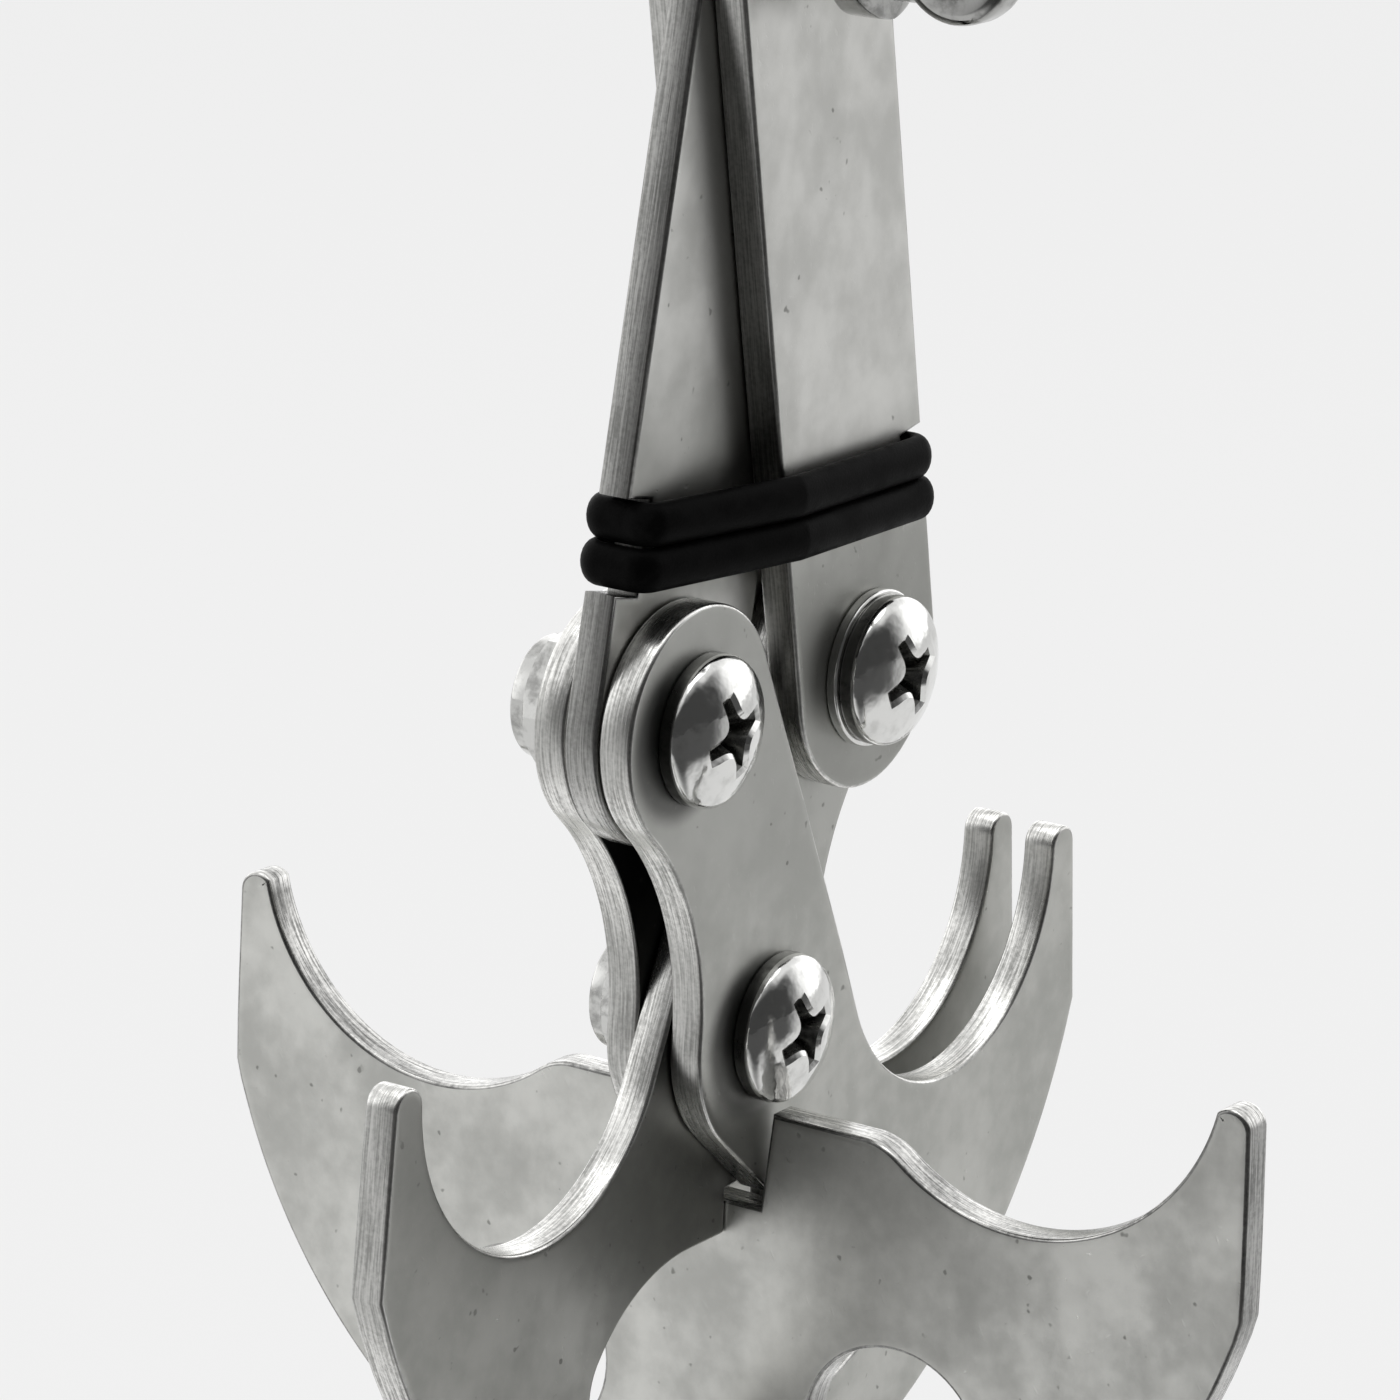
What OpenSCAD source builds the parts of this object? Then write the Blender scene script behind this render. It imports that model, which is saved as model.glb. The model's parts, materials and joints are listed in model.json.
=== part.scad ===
// Folding plate grapnel: two scissor jaws hung from two arms, a removable
// cross claw gripped between the jaws, two rubber rings and a screw shackle.
// X runs across the jaws, Y along the pivots (screw heads at -Y), Z up.
// The origin is where the rope bears inside the shackle's bow.

/* [Plates] */
// Thickness of the arm and jaw plates
plate_t = 2.7; // [2.4:0.1:3.2]
// Running gap between neighbouring plates
layer_gap = 0.1; // [0.05:0.05:0.2]
// Thickness of the cross claw plate
cross_t = 2.7; // [2.2:0.1:3.2]
// Gap on each side of the cross claw, to the jaws and in its slot
grip_gap = 0.15; // [0.1:0.05:0.3]

/* [Linkage] */
// Half distance between the upper pivots, jaws shut
pivot_x = 11; // [10.5:0.1:12]
// Height of the upper pivots above the centre pivot
pivot_z = 25; // [23:0.5:28]
// Height of the shackle pin above the upper pivots
arm_rise = 55; // [50:1:65]
// Width of an arm
arm_w = 18.4; // [16:0.2:19]
// Radius of a jaw's upper lobe
lobe_r = 9; // [8:0.2:9.4]
// Radius of a jaw's hub
hub_r = 9.8; // [9:0.2:10.4]
// Radius of the hollow neck between lobe and hub
neck_r = 21; // [18:1:30]

/* [Jaw claws] */
// Radius of the jaws' round underside
jaw_r = 46.2; // [45:0.2:48]
// Height of that round's centre above the centre pivot
jaw_round_z = 5; // [4:0.5:6]
// Height at which the claw's outer edge leaves the round
jaw_corner_z = -9.2; // [-11:0.2:-8]
// Radius of a claw tip
tip_r = 1.6; // [1.2:0.1:1.8]
// Distance of the claw bay's centre from the middle
bay_x = 24.9; // [24.5:0.1:25.3]
// Height of the claw bay's centre
bay_z = 4; // [3:0.2:5]
// Radius of the claw bay
bay_r = 14.6; // [14:0.1:15]
// Depth of the crotch above the cross claw's slot, below the centre pivot
crotch_z = 13; // [12:0.2:14]
// Radius of the grip opening's crown
grip_r = 13.8; // [12:0.2:14.5]
// Distance of that crown's centre from the middle
grip_x = 6.4; // [5:0.2:7]
// Depth of that crown's centre below the centre pivot
grip_z = 30.3; // [29.5:0.1:31]
// Radius of the grip opening's corner
grip_corner_r = 4.5; // [3:0.5:6]
// Width of the band below the grip opening
grip_wall = 9; // [7:0.5:11]

/* [Cross claw] */
// Radius of the cross claw's flanks
cross_r = 46.3; // [45:0.1:47]
// Depth of the flank rounds' centre below the centre pivot
cross_round_z = 1.2; // [0.5:0.1:2]
// Rise of the cross claw's foot above the lowest point of the flank rounds
cross_foot_rise = 2.7; // [1:0.1:4]
// Radius of the foot
cross_foot_r = 80; // [60:5:120]
// Radius of the heels between foot and flanks
cross_heel_r = 25; // [15:1:30]
// Depth at which the outer edge leaves the flank
cross_corner_z = 13; // [11:0.5:15]
// Distance of a cross claw tip from the middle
cross_tip_x = 42.9; // [41.5:0.1:43]
// Height of a cross claw tip's round
cross_tip_z = 0.9; // [0.5:0.1:3]
// Distance of the cross claw bay's centre from the middle
cross_bay_x = 25.8; // [25.4:0.1:26.2]
// Height of the cross claw bay's centre
cross_bay_z = 5.7; // [5:0.1:6.5]
// Radius of the cross claw bay
cross_bay_r = 16.4; // [16:0.1:16.8]
// Radius of the shoulder between bay and prong
shoulder_r = 5; // [3:0.5:6]
// Depth of the prongs' top beside the slot
prong_z = 6.4; // [6.3:0.1:8]
// Depth of the slot's floor
slot_z = 13.9; // [13.6:0.1:15]
// Widening of each slot wall at its mouth
slot_lead = 0.8; // [0:0.1:1.5]
// Radius of the lashing holes
hole_r = 7.5; // [6:0.1:8.5]
// Distance of a lashing hole from the middle
hole_x = 16.6; // [15:0.2:18]
// Depth of the lashing holes
hole_z = 29.6; // [28:0.2:31]

/* [Pivot screws] */
// Diameter of the pivot screws
pivot_d = 6; // [5:0.5:6]
// Radial running clearance of a pivot
pivot_gap = 0.05; // [0.02:0.01:0.1]
// Radial play of the left jaw on the centre screw
centre_play = 0.85; // [0.8:0.05:1]
// Diameter of a screw head
head_d = 11.2; // [10:0.2:11.6]
// Height of a screw head
head_h = 3.4; // [2.8:0.1:4]
// Height of a head's straight rim
head_rim = 2; // [1.2:0.1:2.2]
// Length of the cross recess
recess_l = 6.2; // [5:0.1:7]
// Width of the cross recess
recess_w = 1.5; // [1.2:0.1:2]
// Depth of the cross recess
recess_d = 2; // [1.5:0.1:2.4]
// Turn of the cross recess, seen from the front
recess_turn = 22; // [0:1:89]
// Diameter of the washer under the right head
washer_d = 11.8; // [11.6:0.1:14]
// Thickness of that washer
washer_t = 0.9; // [0.6:0.1:1.2]
// Width of a lock nut across its flats
nut_af = 10; // [9:0.5:11]
// Height of a lock nut's hexagon
nut_h = 3.8; // [3:0.2:5]
// Outer diameter of the nut's crimped collar
collar_d = 9.2; // [8.6:0.1:9.6]
// Height of that collar
collar_h = 1.5; // [1.2:0.1:2]
// Wall of that collar
collar_wall = 0.6; // [0.4:0.1:0.8]
// Length of screw standing out of a nut
thread_out = 0.8; // [0.4:0.1:2]

/* [Shackle] */
// Diameter of the shackle's bow and pin
shackle_d = 5; // [4:0.2:5.6]
// Clear width between the ears
shackle_gap = 13.2; // [12.4:0.2:16]
// Clear height from the pin's middle to the crown
shackle_h = 20; // [17:0.5:26]
// Diameter of an ear
ear_d = 10; // [9:0.2:11]
// Thickness of an ear
ear_t = 3.2; // [2.4:0.2:4]
// Diameter of the pin's collar
pin_collar_d = 7.2; // [6:0.2:8]
// Length of the pin's collar
pin_collar_l = 2.6; // [2:0.2:4]
// Diameter of the pin's eye
pin_eye_d = 9.4; // [8:0.2:11]
// Thickness of the pin's eye
pin_eye_t = 3.2; // [2.4:0.2:4]
// Hole in the pin's eye
pin_eye_hole = 3.8; // [3:0.2:4.4]

/* [Rubber rings] */
// Diameter of the rings' cord
cord_d = 2.7; // [2.2:0.1:3]
// Clear gap of the rings to the arms and to each other
ring_gap = 0.25; // [0.2:0.05:0.4]
// Height of the middle between the rings above the centre pivot
ring_z = 38.7; // [36:0.1:46]
// Depth of the notch in an arm's outer edge that holds the rings
notch_d = 2.8; // [2:0.1:3.2]

/* [Hidden] */
$fn = 96;
cut = 1;
arc_step = 4;
steel = [0.72, 0.71, 0.69];
polished = [0.82, 0.82, 0.82];
rubber = [0.05, 0.05, 0.05];
nylon = [0.85, 0.87, 0.9];

// Pivot points in the XZ plane, measured from the centre pivot.
centre = [0, 0];
upper = [-pivot_x, pivot_z];
top = [0, pivot_z + arm_rise];
eye_z = top[1] + shackle_h;
stack = 1.5 * plate_t + layer_gap;
split = cross_t / 2 + grip_gap;
cross_foot_z = cross_round_z + cross_r - cross_foot_rise;

// Common tangent of lobe and hub on the neck's straight side.
link = norm(upper);
link_a = atan2(-upper[1], -upper[0]);
side_a = link_a + 90 + asin((lobe_r - hub_r) / link);
side = [cos(side_a), sin(side_a)];

// Corner round of the grip opening, tangent to its crown and to the band.
band_r = jaw_r - grip_wall;
grip_c = [grip_x, -grip_z];
round_c = [0, jaw_round_z];
bay_c = [bay_x, bay_z];
grip_corner = meet(grip_c, grip_r - grip_corner_r, round_c, band_r - grip_corner_r);

// Arms, and where the rings lie in their notches and bend round them.
arm_lean = atan2(pivot_x, arm_rise);
arm_reach = arm_w / 2 / cos(arm_lean);
notch_x = arm_reach - notch_d / cos(arm_lean);
notch_h = (2 * cord_d + 3 * ring_gap + notch_d * sin(arm_lean)) / cos(arm_lean);
ring_bend = cord_d / 2 + ring_gap;
ring_step = (cord_d + ring_gap) / 2;
cord_sides = 10;
bend_steps = 5;

// Meeting point, on the right of the way from a to b, of circles ra and rb.
function meet(a, ra, b, rb) =
  let (d = norm(b - a), u = (b - a) / d, k = (d * d + ra * ra - rb * rb) / (2 * d))
  a + k * u + sqrt(ra * ra - k * k) * [u[1], -u[0]];

// Direction from point a to point b, in degrees.
function heading(a, b) = atan2(b[1] - a[1], b[0] - a[0]);

// Distance of an arm's middle line from the middle, at height z above the centre pivot.
function arm_x(z) = pivot_x * (top[1] - z) / arm_rise;

// Points of an arc of radius r round c, one for each few degrees.
function arc(c, r, from, to) =
  let (steps = max(3, ceil(abs(to - from) / arc_step)))
  [for (i = [0:steps]) let (a = from + (to - from) * i / steps) c + r * [cos(a), sin(a)]];

// Moves the linkage from its centre pivot to the rope's frame.
module hung() {
  translate([0, 0, -eye_z]) children();
}

// One plate: layer -1 is the front, 0 the middle and 1 the rear.
module plate(layer) {
  hung() translate([0, layer * (plate_t + layer_gap) + plate_t / 2, 0]) rotate([90, 0, 0])
    linear_extrude(plate_t) children();
}

// Puts a pivot's hardware on the pivot at point p.
module at_pivot(p) {
  hung() translate([p[0], 0, p[1]]) children();
}

// Right arm, from the right upper pivot to the shackle pin, notched for the rings.
module arm_outline() {
  foot = [pivot_x, pivot_z];
  across = arm_w / 2 * [cos(arm_lean), sin(arm_lean)];
  notch = [arm_x(ring_z) + (arm_reach + notch_x) / 2, ring_z];
  difference() {
    union() {
      translate(foot) circle(d = arm_w);
      translate(top) circle(d = arm_w);
      polygon([foot + across, top + across, top - across, foot - across]);
    }
    translate(foot) circle(d = pivot_d + 2 * pivot_gap);
    translate(top) circle(d = shackle_d + 2 * pivot_gap);
    translate(notch) rotate(arm_lean) translate([-notch_d / 2, -notch_h / 2])
      square([notch_d + cut, notch_h]);
  }
}

// Right jaw with its claw, without pivot holes: one outline, run round from
// the lobe down the hollow neck, the crotch and the grip opening to the claw.
module jaw_blank() {
  neck_c = meet(upper, neck_r + lobe_r, centre, neck_r + hub_r);
  hub_end = 270 - acos(hub_r / crotch_z);
  crown_a = heading(grip_c, grip_corner);
  band_a = heading(round_c, grip_corner);
  polygon(concat(
    arc(upper, lobe_r, side_a, 360 + heading(upper, neck_c)),
    arc(neck_c, neck_r, heading(neck_c, upper), heading(neck_c, centre)),
    arc(centre, hub_r, heading(centre, neck_c), hub_end),
    [[0, -crotch_z], [split, -crotch_z], [split, grip_r - grip_z]],
    arc(grip_c, grip_r, 90, crown_a),
    arc(grip_corner, grip_corner_r, crown_a, band_a),
    arc(round_c, band_r, band_a, asin(split / band_r) - 90),
    arc(round_c, jaw_r, asin(split / jaw_r) - 90, asin((jaw_corner_z - jaw_round_z) / jaw_r)),
    arc([bay_x + bay_r + tip_r, bay_z], tip_r, 0, 180),
    arc(bay_c, bay_r, 0, side_a - 180),
    [hub_r * side]
  ));
}

// Jaw with its upper hole and a centre hole of the given radius.
module jaw_outline(centre_r) {
  difference() {
    jaw_blank();
    translate(upper) circle(d = pivot_d + 2 * pivot_gap);
    circle(centre_r);
  }
}

// Right half of the cross claw's outline, from the foot's middle round the heel,
// the claw and its bay to the slot that straddles the plates.
function cross_half() =
  let (
    foot_c = [0, cross_foot_r - cross_foot_z],
    flank_c = [0, -cross_round_z],
    heel_c = meet(flank_c, cross_r - cross_heel_r, foot_c, cross_foot_r - cross_heel_r),
    foot_a = heading(foot_c, heel_c),
    flank_a = heading(flank_c, heel_c),
    tip_c = [cross_tip_x, cross_tip_z],
    hollow_c = [cross_bay_x, cross_bay_z],
    barb = meet(tip_c, tip_r, hollow_c, cross_bay_r),
    rise = cross_bay_z + prong_z + shoulder_r,
    run = sqrt(pow(cross_bay_r + shoulder_r, 2) - rise * rise),
    shoulder_c = hollow_c - [run, rise],
    shoulder_a = heading(hollow_c, shoulder_c),
    floor_w = stack + grip_gap
  )
  concat(
    arc(foot_c, cross_foot_r, -90, foot_a),
    arc(heel_c, cross_heel_r, foot_a, flank_a),
    arc(flank_c, cross_r, flank_a, asin((cross_round_z - cross_corner_z) / cross_r)),
    arc(tip_c, tip_r, 0, heading(tip_c, barb)),
    arc(hollow_c, cross_bay_r, heading(hollow_c, barb), shoulder_a),
    arc(shoulder_c, shoulder_r, shoulder_a + 180, 90),
    [[floor_w + slot_lead, -prong_z], [floor_w, -slot_z]]
  );

// Whole cross claw with its lashing holes.
module cross_outline() {
  right = cross_half();
  last = len(right) - 1;
  difference() {
    polygon(concat(right, [for (i = [last:-1:1]) [-right[i][0], right[i][1]]]));
    for (s = [-1, 1]) translate([s * hole_x, -hole_z]) circle(hole_r);
  }
}

// Pan head with a cross recess, standing along +Z from its seat.
module pan_head() {
  dome = head_h - head_rim;
  dome_r = (pow(head_d / 2, 2) + pow(dome, 2)) / (2 * dome);
  difference() {
    intersection() {
      cylinder(d = head_d, h = head_h);
      translate([0, 0, head_h - dome_r]) sphere(dome_r);
    }
    translate([0, 0, head_h - recess_d]) rotate([0, 0, recess_turn]) {
      translate([-recess_l / 2, -recess_w / 2, 0]) cube([recess_l, recess_w, recess_d + cut]);
      translate([-recess_w / 2, -recess_l / 2, 0]) cube([recess_w, recess_l, recess_d + cut]);
      cylinder(r1 = recess_w / 2, r2 = recess_w, h = recess_d + cut);
    }
  }
}

// Pivot screw whose head sits the given distance in front of the plates.
module pivot_screw(seat) {
  tail = stack + nut_h + collar_h + thread_out;
  color(polished) {
    translate([0, -stack - seat, 0]) rotate([90, 0, 0]) pan_head();
    translate([0, -stack - seat, 0]) rotate([-90, 0, 0])
      cylinder(d = pivot_d, h = stack + seat + tail);
  }
}

// Lock nut behind the plates: hexagon and crimped collar, insert left out.
module lock_nut() {
  color(polished) translate([0, stack, 0]) rotate([-90, 0, 0]) difference() {
    union() {
      cylinder(d = nut_af / cos(30), h = nut_h, $fn = 6);
      cylinder(d = collar_d, h = nut_h + collar_h);
    }
    translate([0, 0, -cut]) cylinder(d = pivot_d + 2 * pivot_gap, h = nut_h + collar_h + 2 * cut);
    translate([0, 0, nut_h]) cylinder(d = collar_d - 2 * collar_wall, h = collar_h + cut);
  }
}

// Nylon ring inside the nut's collar.
module nut_insert() {
  color(nylon) translate([0, stack + nut_h, 0]) rotate([-90, 0, 0]) difference() {
    cylinder(d = collar_d - 2 * collar_wall - 2 * pivot_gap, h = collar_h);
    translate([0, 0, -cut]) cylinder(d = pivot_d + 2 * pivot_gap, h = collar_h + 2 * cut);
  }
}

// Rubber ring round both arms at height z: a closed tube with flat bends.
module rubber_ring(z) {
  outer_x = arm_x(z) + notch_x;
  inner_x = arm_x(z) - arm_reach;
  thin = plate_t / 2;
  lean = atan2(stack - thin, outer_x + inner_x);
  bends = [
    [outer_x, stack, 0, 90], [inner_x, stack, 90, 90 + lean],
    [-outer_x, thin, 90 + lean, 180], [-outer_x, -thin, 180, 270 - lean],
    [inner_x, -stack, 270 - lean, 270], [outer_x, -stack, 270, 360]
  ];
  spine = [for (b = bends, i = [0:bend_steps]) let (a = b[2] + (b[3] - b[2]) * i / bend_steps)
    [b[0] + ring_bend * cos(a), b[1] + ring_bend * sin(a), a]];
  rings = len(spine);
  skin = [for (s = spine, k = [0:cord_sides - 1]) let (
      t = 360 * k / cord_sides, out = cord_d / 2 * cos(t))
    [s[0] + out * cos(s[2]), s[1] + out * sin(s[2]), z + cord_d / 2 * sin(t)]];
  quads = [for (i = [0:rings - 1], k = [0:cord_sides - 1]) let (
      j = (i + 1) % rings, m = (k + 1) % cord_sides)
    [i * cord_sides + k, i * cord_sides + m, j * cord_sides + m, j * cord_sides + k]];
  color(rubber) hung() polyhedron(skin, [for (q = quads) each [[q[0], q[1], q[2]], [q[0], q[2], q[3]]]]);
}

module shackle_bow() {
  leg_y = shackle_gap / 2 + ear_t / 2;
  crown_z = shackle_h + shackle_d / 2 - leg_y;
  leg_z = ear_d / 2 - shackle_d / 4;
  color(polished) at_pivot(top) difference() {
    union() {
      for (s = [-1, 1]) translate([0, s * leg_y, 0]) {
        rotate([90, 0, 0]) cylinder(d = ear_d, h = ear_t, center = true);
        translate([0, 0, leg_z]) cylinder(d = shackle_d, h = crown_z - leg_z);
      }
      translate([0, 0, crown_z]) rotate([90, 0, 90]) rotate_extrude(angle = 180)
        translate([leg_y, 0]) circle(d = shackle_d);
    }
    rotate([90, 0, 0]) cylinder(d = shackle_d + 2 * pivot_gap, h = 4 * leg_y, center = true);
  }
}

module shackle_pin() {
  ear_out = shackle_gap / 2 + ear_t;
  eye_y = ear_out + pin_collar_l + pin_eye_d / 2 - pin_eye_t / 4;
  color(polished) at_pivot(top) rotate([90, 0, 0]) difference() {
    union() {
      translate([0, 0, -ear_out]) cylinder(d = shackle_d, h = 2 * ear_out + cut);
      translate([0, 0, ear_out]) cylinder(d = pin_collar_d, h = pin_collar_l);
      translate([0, 0, eye_y]) rotate([0, 90, 0]) cylinder(d = pin_eye_d, h = pin_eye_t, center = true);
    }
    translate([0, 0, eye_y]) rotate([0, 90, 0])
      cylinder(d = pin_eye_hole, h = pin_eye_t + 2 * cut, center = true);
  }
}

module right_arm_front() { color(steel) plate(-1) arm_outline(); }

module right_arm_rear() { color(steel) plate(1) arm_outline(); }

module left_arm() { color(steel) plate(0) mirror([1, 0]) arm_outline(); }

module right_jaw_front() { color(steel) plate(-1) jaw_outline(pivot_d / 2 + pivot_gap); }

module right_jaw_rear() { color(steel) plate(1) jaw_outline(pivot_d / 2 + pivot_gap); }

module left_jaw() { color(steel) plate(0) mirror([1, 0]) jaw_outline(pivot_d / 2 + centre_play); }

module cross_claw() {
  color(steel) hung() translate([-cross_t / 2, 0, 0]) rotate([90, 0, 90])
    linear_extrude(cross_t) cross_outline();
}

module left_pivot_screw() { at_pivot(upper) pivot_screw(0); }

module right_pivot_screw() { at_pivot([pivot_x, pivot_z]) pivot_screw(washer_t); }

module centre_pivot_screw() { at_pivot(centre) pivot_screw(0); }

module right_pivot_washer() {
  color(polished) at_pivot([pivot_x, pivot_z]) translate([0, -stack, 0]) rotate([90, 0, 0]) difference() {
    cylinder(d = washer_d, h = washer_t);
    translate([0, 0, -cut]) cylinder(d = pivot_d + 2 * pivot_gap, h = washer_t + 2 * cut);
  }
}

module left_pivot_nut() { at_pivot(upper) lock_nut(); }

module right_pivot_nut() { at_pivot([pivot_x, pivot_z]) lock_nut(); }

module centre_pivot_nut() { at_pivot(centre) lock_nut(); }

module left_nut_insert() { at_pivot(upper) nut_insert(); }

module right_nut_insert() { at_pivot([pivot_x, pivot_z]) nut_insert(); }

module centre_nut_insert() { at_pivot(centre) nut_insert(); }

module upper_rubber_ring() { rubber_ring(ring_z + ring_step); }

module lower_rubber_ring() { rubber_ring(ring_z - ring_step); }

shackle_bow();
shackle_pin();
right_arm_front();
right_arm_rear();
left_arm();
right_jaw_front();
right_jaw_rear();
left_jaw();
cross_claw();
left_pivot_screw();
right_pivot_screw();
centre_pivot_screw();
right_pivot_washer();
left_pivot_nut();
right_pivot_nut();
centre_pivot_nut();
left_nut_insert();
right_nut_insert();
centre_nut_insert();
upper_rubber_ring();
lower_rubber_ring();
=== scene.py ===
"""Looks of the folding plate grapnel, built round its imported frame.

The plates get rounded rims, satin faces and bright cut edges, the screws, nuts
and shackle are turned and lofted, and the rubber rings bend between the arms.
"""

from __future__ import annotations

import json
import logging
import math
from collections.abc import Mapping, Sequence
from dataclasses import dataclass, replace
from enum import Enum
from typing import ClassVar

import bmesh
import bpy
import numpy as np
from mathutils import Matrix, Vector

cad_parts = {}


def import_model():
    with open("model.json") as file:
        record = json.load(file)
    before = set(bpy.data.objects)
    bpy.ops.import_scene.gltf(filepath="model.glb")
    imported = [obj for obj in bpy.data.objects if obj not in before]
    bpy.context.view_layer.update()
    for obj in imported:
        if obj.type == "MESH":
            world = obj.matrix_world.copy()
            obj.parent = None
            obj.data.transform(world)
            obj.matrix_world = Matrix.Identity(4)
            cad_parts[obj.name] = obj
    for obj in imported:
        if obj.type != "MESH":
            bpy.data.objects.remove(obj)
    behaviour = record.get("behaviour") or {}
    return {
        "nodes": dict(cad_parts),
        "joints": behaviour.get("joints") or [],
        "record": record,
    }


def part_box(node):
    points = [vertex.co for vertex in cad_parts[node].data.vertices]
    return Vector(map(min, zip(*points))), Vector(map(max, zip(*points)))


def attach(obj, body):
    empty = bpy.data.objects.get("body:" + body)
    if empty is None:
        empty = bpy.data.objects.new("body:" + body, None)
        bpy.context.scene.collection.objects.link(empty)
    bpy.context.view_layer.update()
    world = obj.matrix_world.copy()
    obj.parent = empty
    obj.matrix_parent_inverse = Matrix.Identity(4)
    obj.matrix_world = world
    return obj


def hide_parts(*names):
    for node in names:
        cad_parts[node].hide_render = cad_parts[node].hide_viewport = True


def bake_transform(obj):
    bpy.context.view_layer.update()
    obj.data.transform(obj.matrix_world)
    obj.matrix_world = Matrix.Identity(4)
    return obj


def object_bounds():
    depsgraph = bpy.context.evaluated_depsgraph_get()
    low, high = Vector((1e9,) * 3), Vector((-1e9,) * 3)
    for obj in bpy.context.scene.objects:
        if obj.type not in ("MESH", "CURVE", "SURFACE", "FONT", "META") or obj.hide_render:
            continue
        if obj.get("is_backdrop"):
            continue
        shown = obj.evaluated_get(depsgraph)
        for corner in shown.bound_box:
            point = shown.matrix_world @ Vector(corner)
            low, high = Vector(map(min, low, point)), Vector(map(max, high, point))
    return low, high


LOG = logging.getLogger("grapnel")
MM = 0.001
# Points of a boolean's result that lie closer than this are joined.
WELD = 0.002 * MM
# Radii below this are a pole of a turned piece.
POLE = 1e-9

Colour = tuple[float, float, float]
Span = tuple[float, float]
Profile = Sequence[Span]
Point = Sequence[float]


class Slot(Enum):
    """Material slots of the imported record."""

    PLATE = "plate_steel"
    CROSS = "cross_steel"
    SCREW = "screw_steel"
    NUT = "nut_steel"
    SHACKLE = "shackle_steel"
    RUBBER = "rubber"
    NYLON = "nylon"


class Axis(Enum):
    """Row axis that a flat plate's thickness lies along."""

    X = 0
    Y = 1


class Zone(Enum):
    """Material places of a plate's mesh."""

    FACE = 0
    EDGE = 1


class HeadZone(Enum):
    """Material places of a screw's mesh."""

    BODY = 0
    RECESS = 1
    FLANK = 2


class Cut(Enum):
    """Ways in which a tool changes a piece."""

    AWAY = "DIFFERENCE"
    JOIN = "UNION"
    WITHIN = "INTERSECT"


# Shader expressions


class Wire:
    """A shader value that takes part in Python expressions."""

    def __init__(self, paint: Paint, socket: bpy.types.NodeSocket) -> None:
        """Wraps an output socket of a paint's node tree."""
        self.paint = paint
        self.socket = socket

    def _maths(self, operation: str, first: Wire | float, second: Wire | float) -> Wire:
        """Adds one Math node.

        Args:
            operation: the Math node's operation.
            first: first value or wire.
            second: second value or wire.

        Returns:
            The node's result.
        """
        node = self.paint.node("ShaderNodeMath", {"operation": operation}, {0: first, 1: second})
        return Wire(self.paint, node.outputs[0])

    def __add__(self, other: Wire | float) -> Wire:
        """Sum."""
        return self._maths("ADD", self, other)

    def __radd__(self, other: float) -> Wire:
        """Reflected sum."""
        return self._maths("ADD", other, self)

    def __sub__(self, other: Wire | float) -> Wire:
        """Difference."""
        return self._maths("SUBTRACT", self, other)

    def __rsub__(self, other: float) -> Wire:
        """Reflected difference."""
        return self._maths("SUBTRACT", other, self)

    def __mul__(self, other: Wire | float) -> Wire:
        """Product."""
        return self._maths("MULTIPLY", self, other)

    def __rmul__(self, other: float) -> Wire:
        """Reflected product."""
        return self._maths("MULTIPLY", other, self)

    def most(self, other: Wire | float) -> Wire:
        """Larger of two values."""
        return self._maths("MAXIMUM", self, other)

    def step(self, low: float, high: float) -> Wire:
        """Smooth step of the value.

        Args:
            low: value that gives 0.
            high: value that gives 1.

        Returns:
            The stepped value, from 0 to 1.
        """
        node = self.paint.node(
            "ShaderNodeMapRange",
            {"interpolation_type": "SMOOTHSTEP"},
            {"Value": self, "From Min": low, "From Max": high},
        )
        return Wire(self.paint, node.outputs["Result"])


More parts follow.
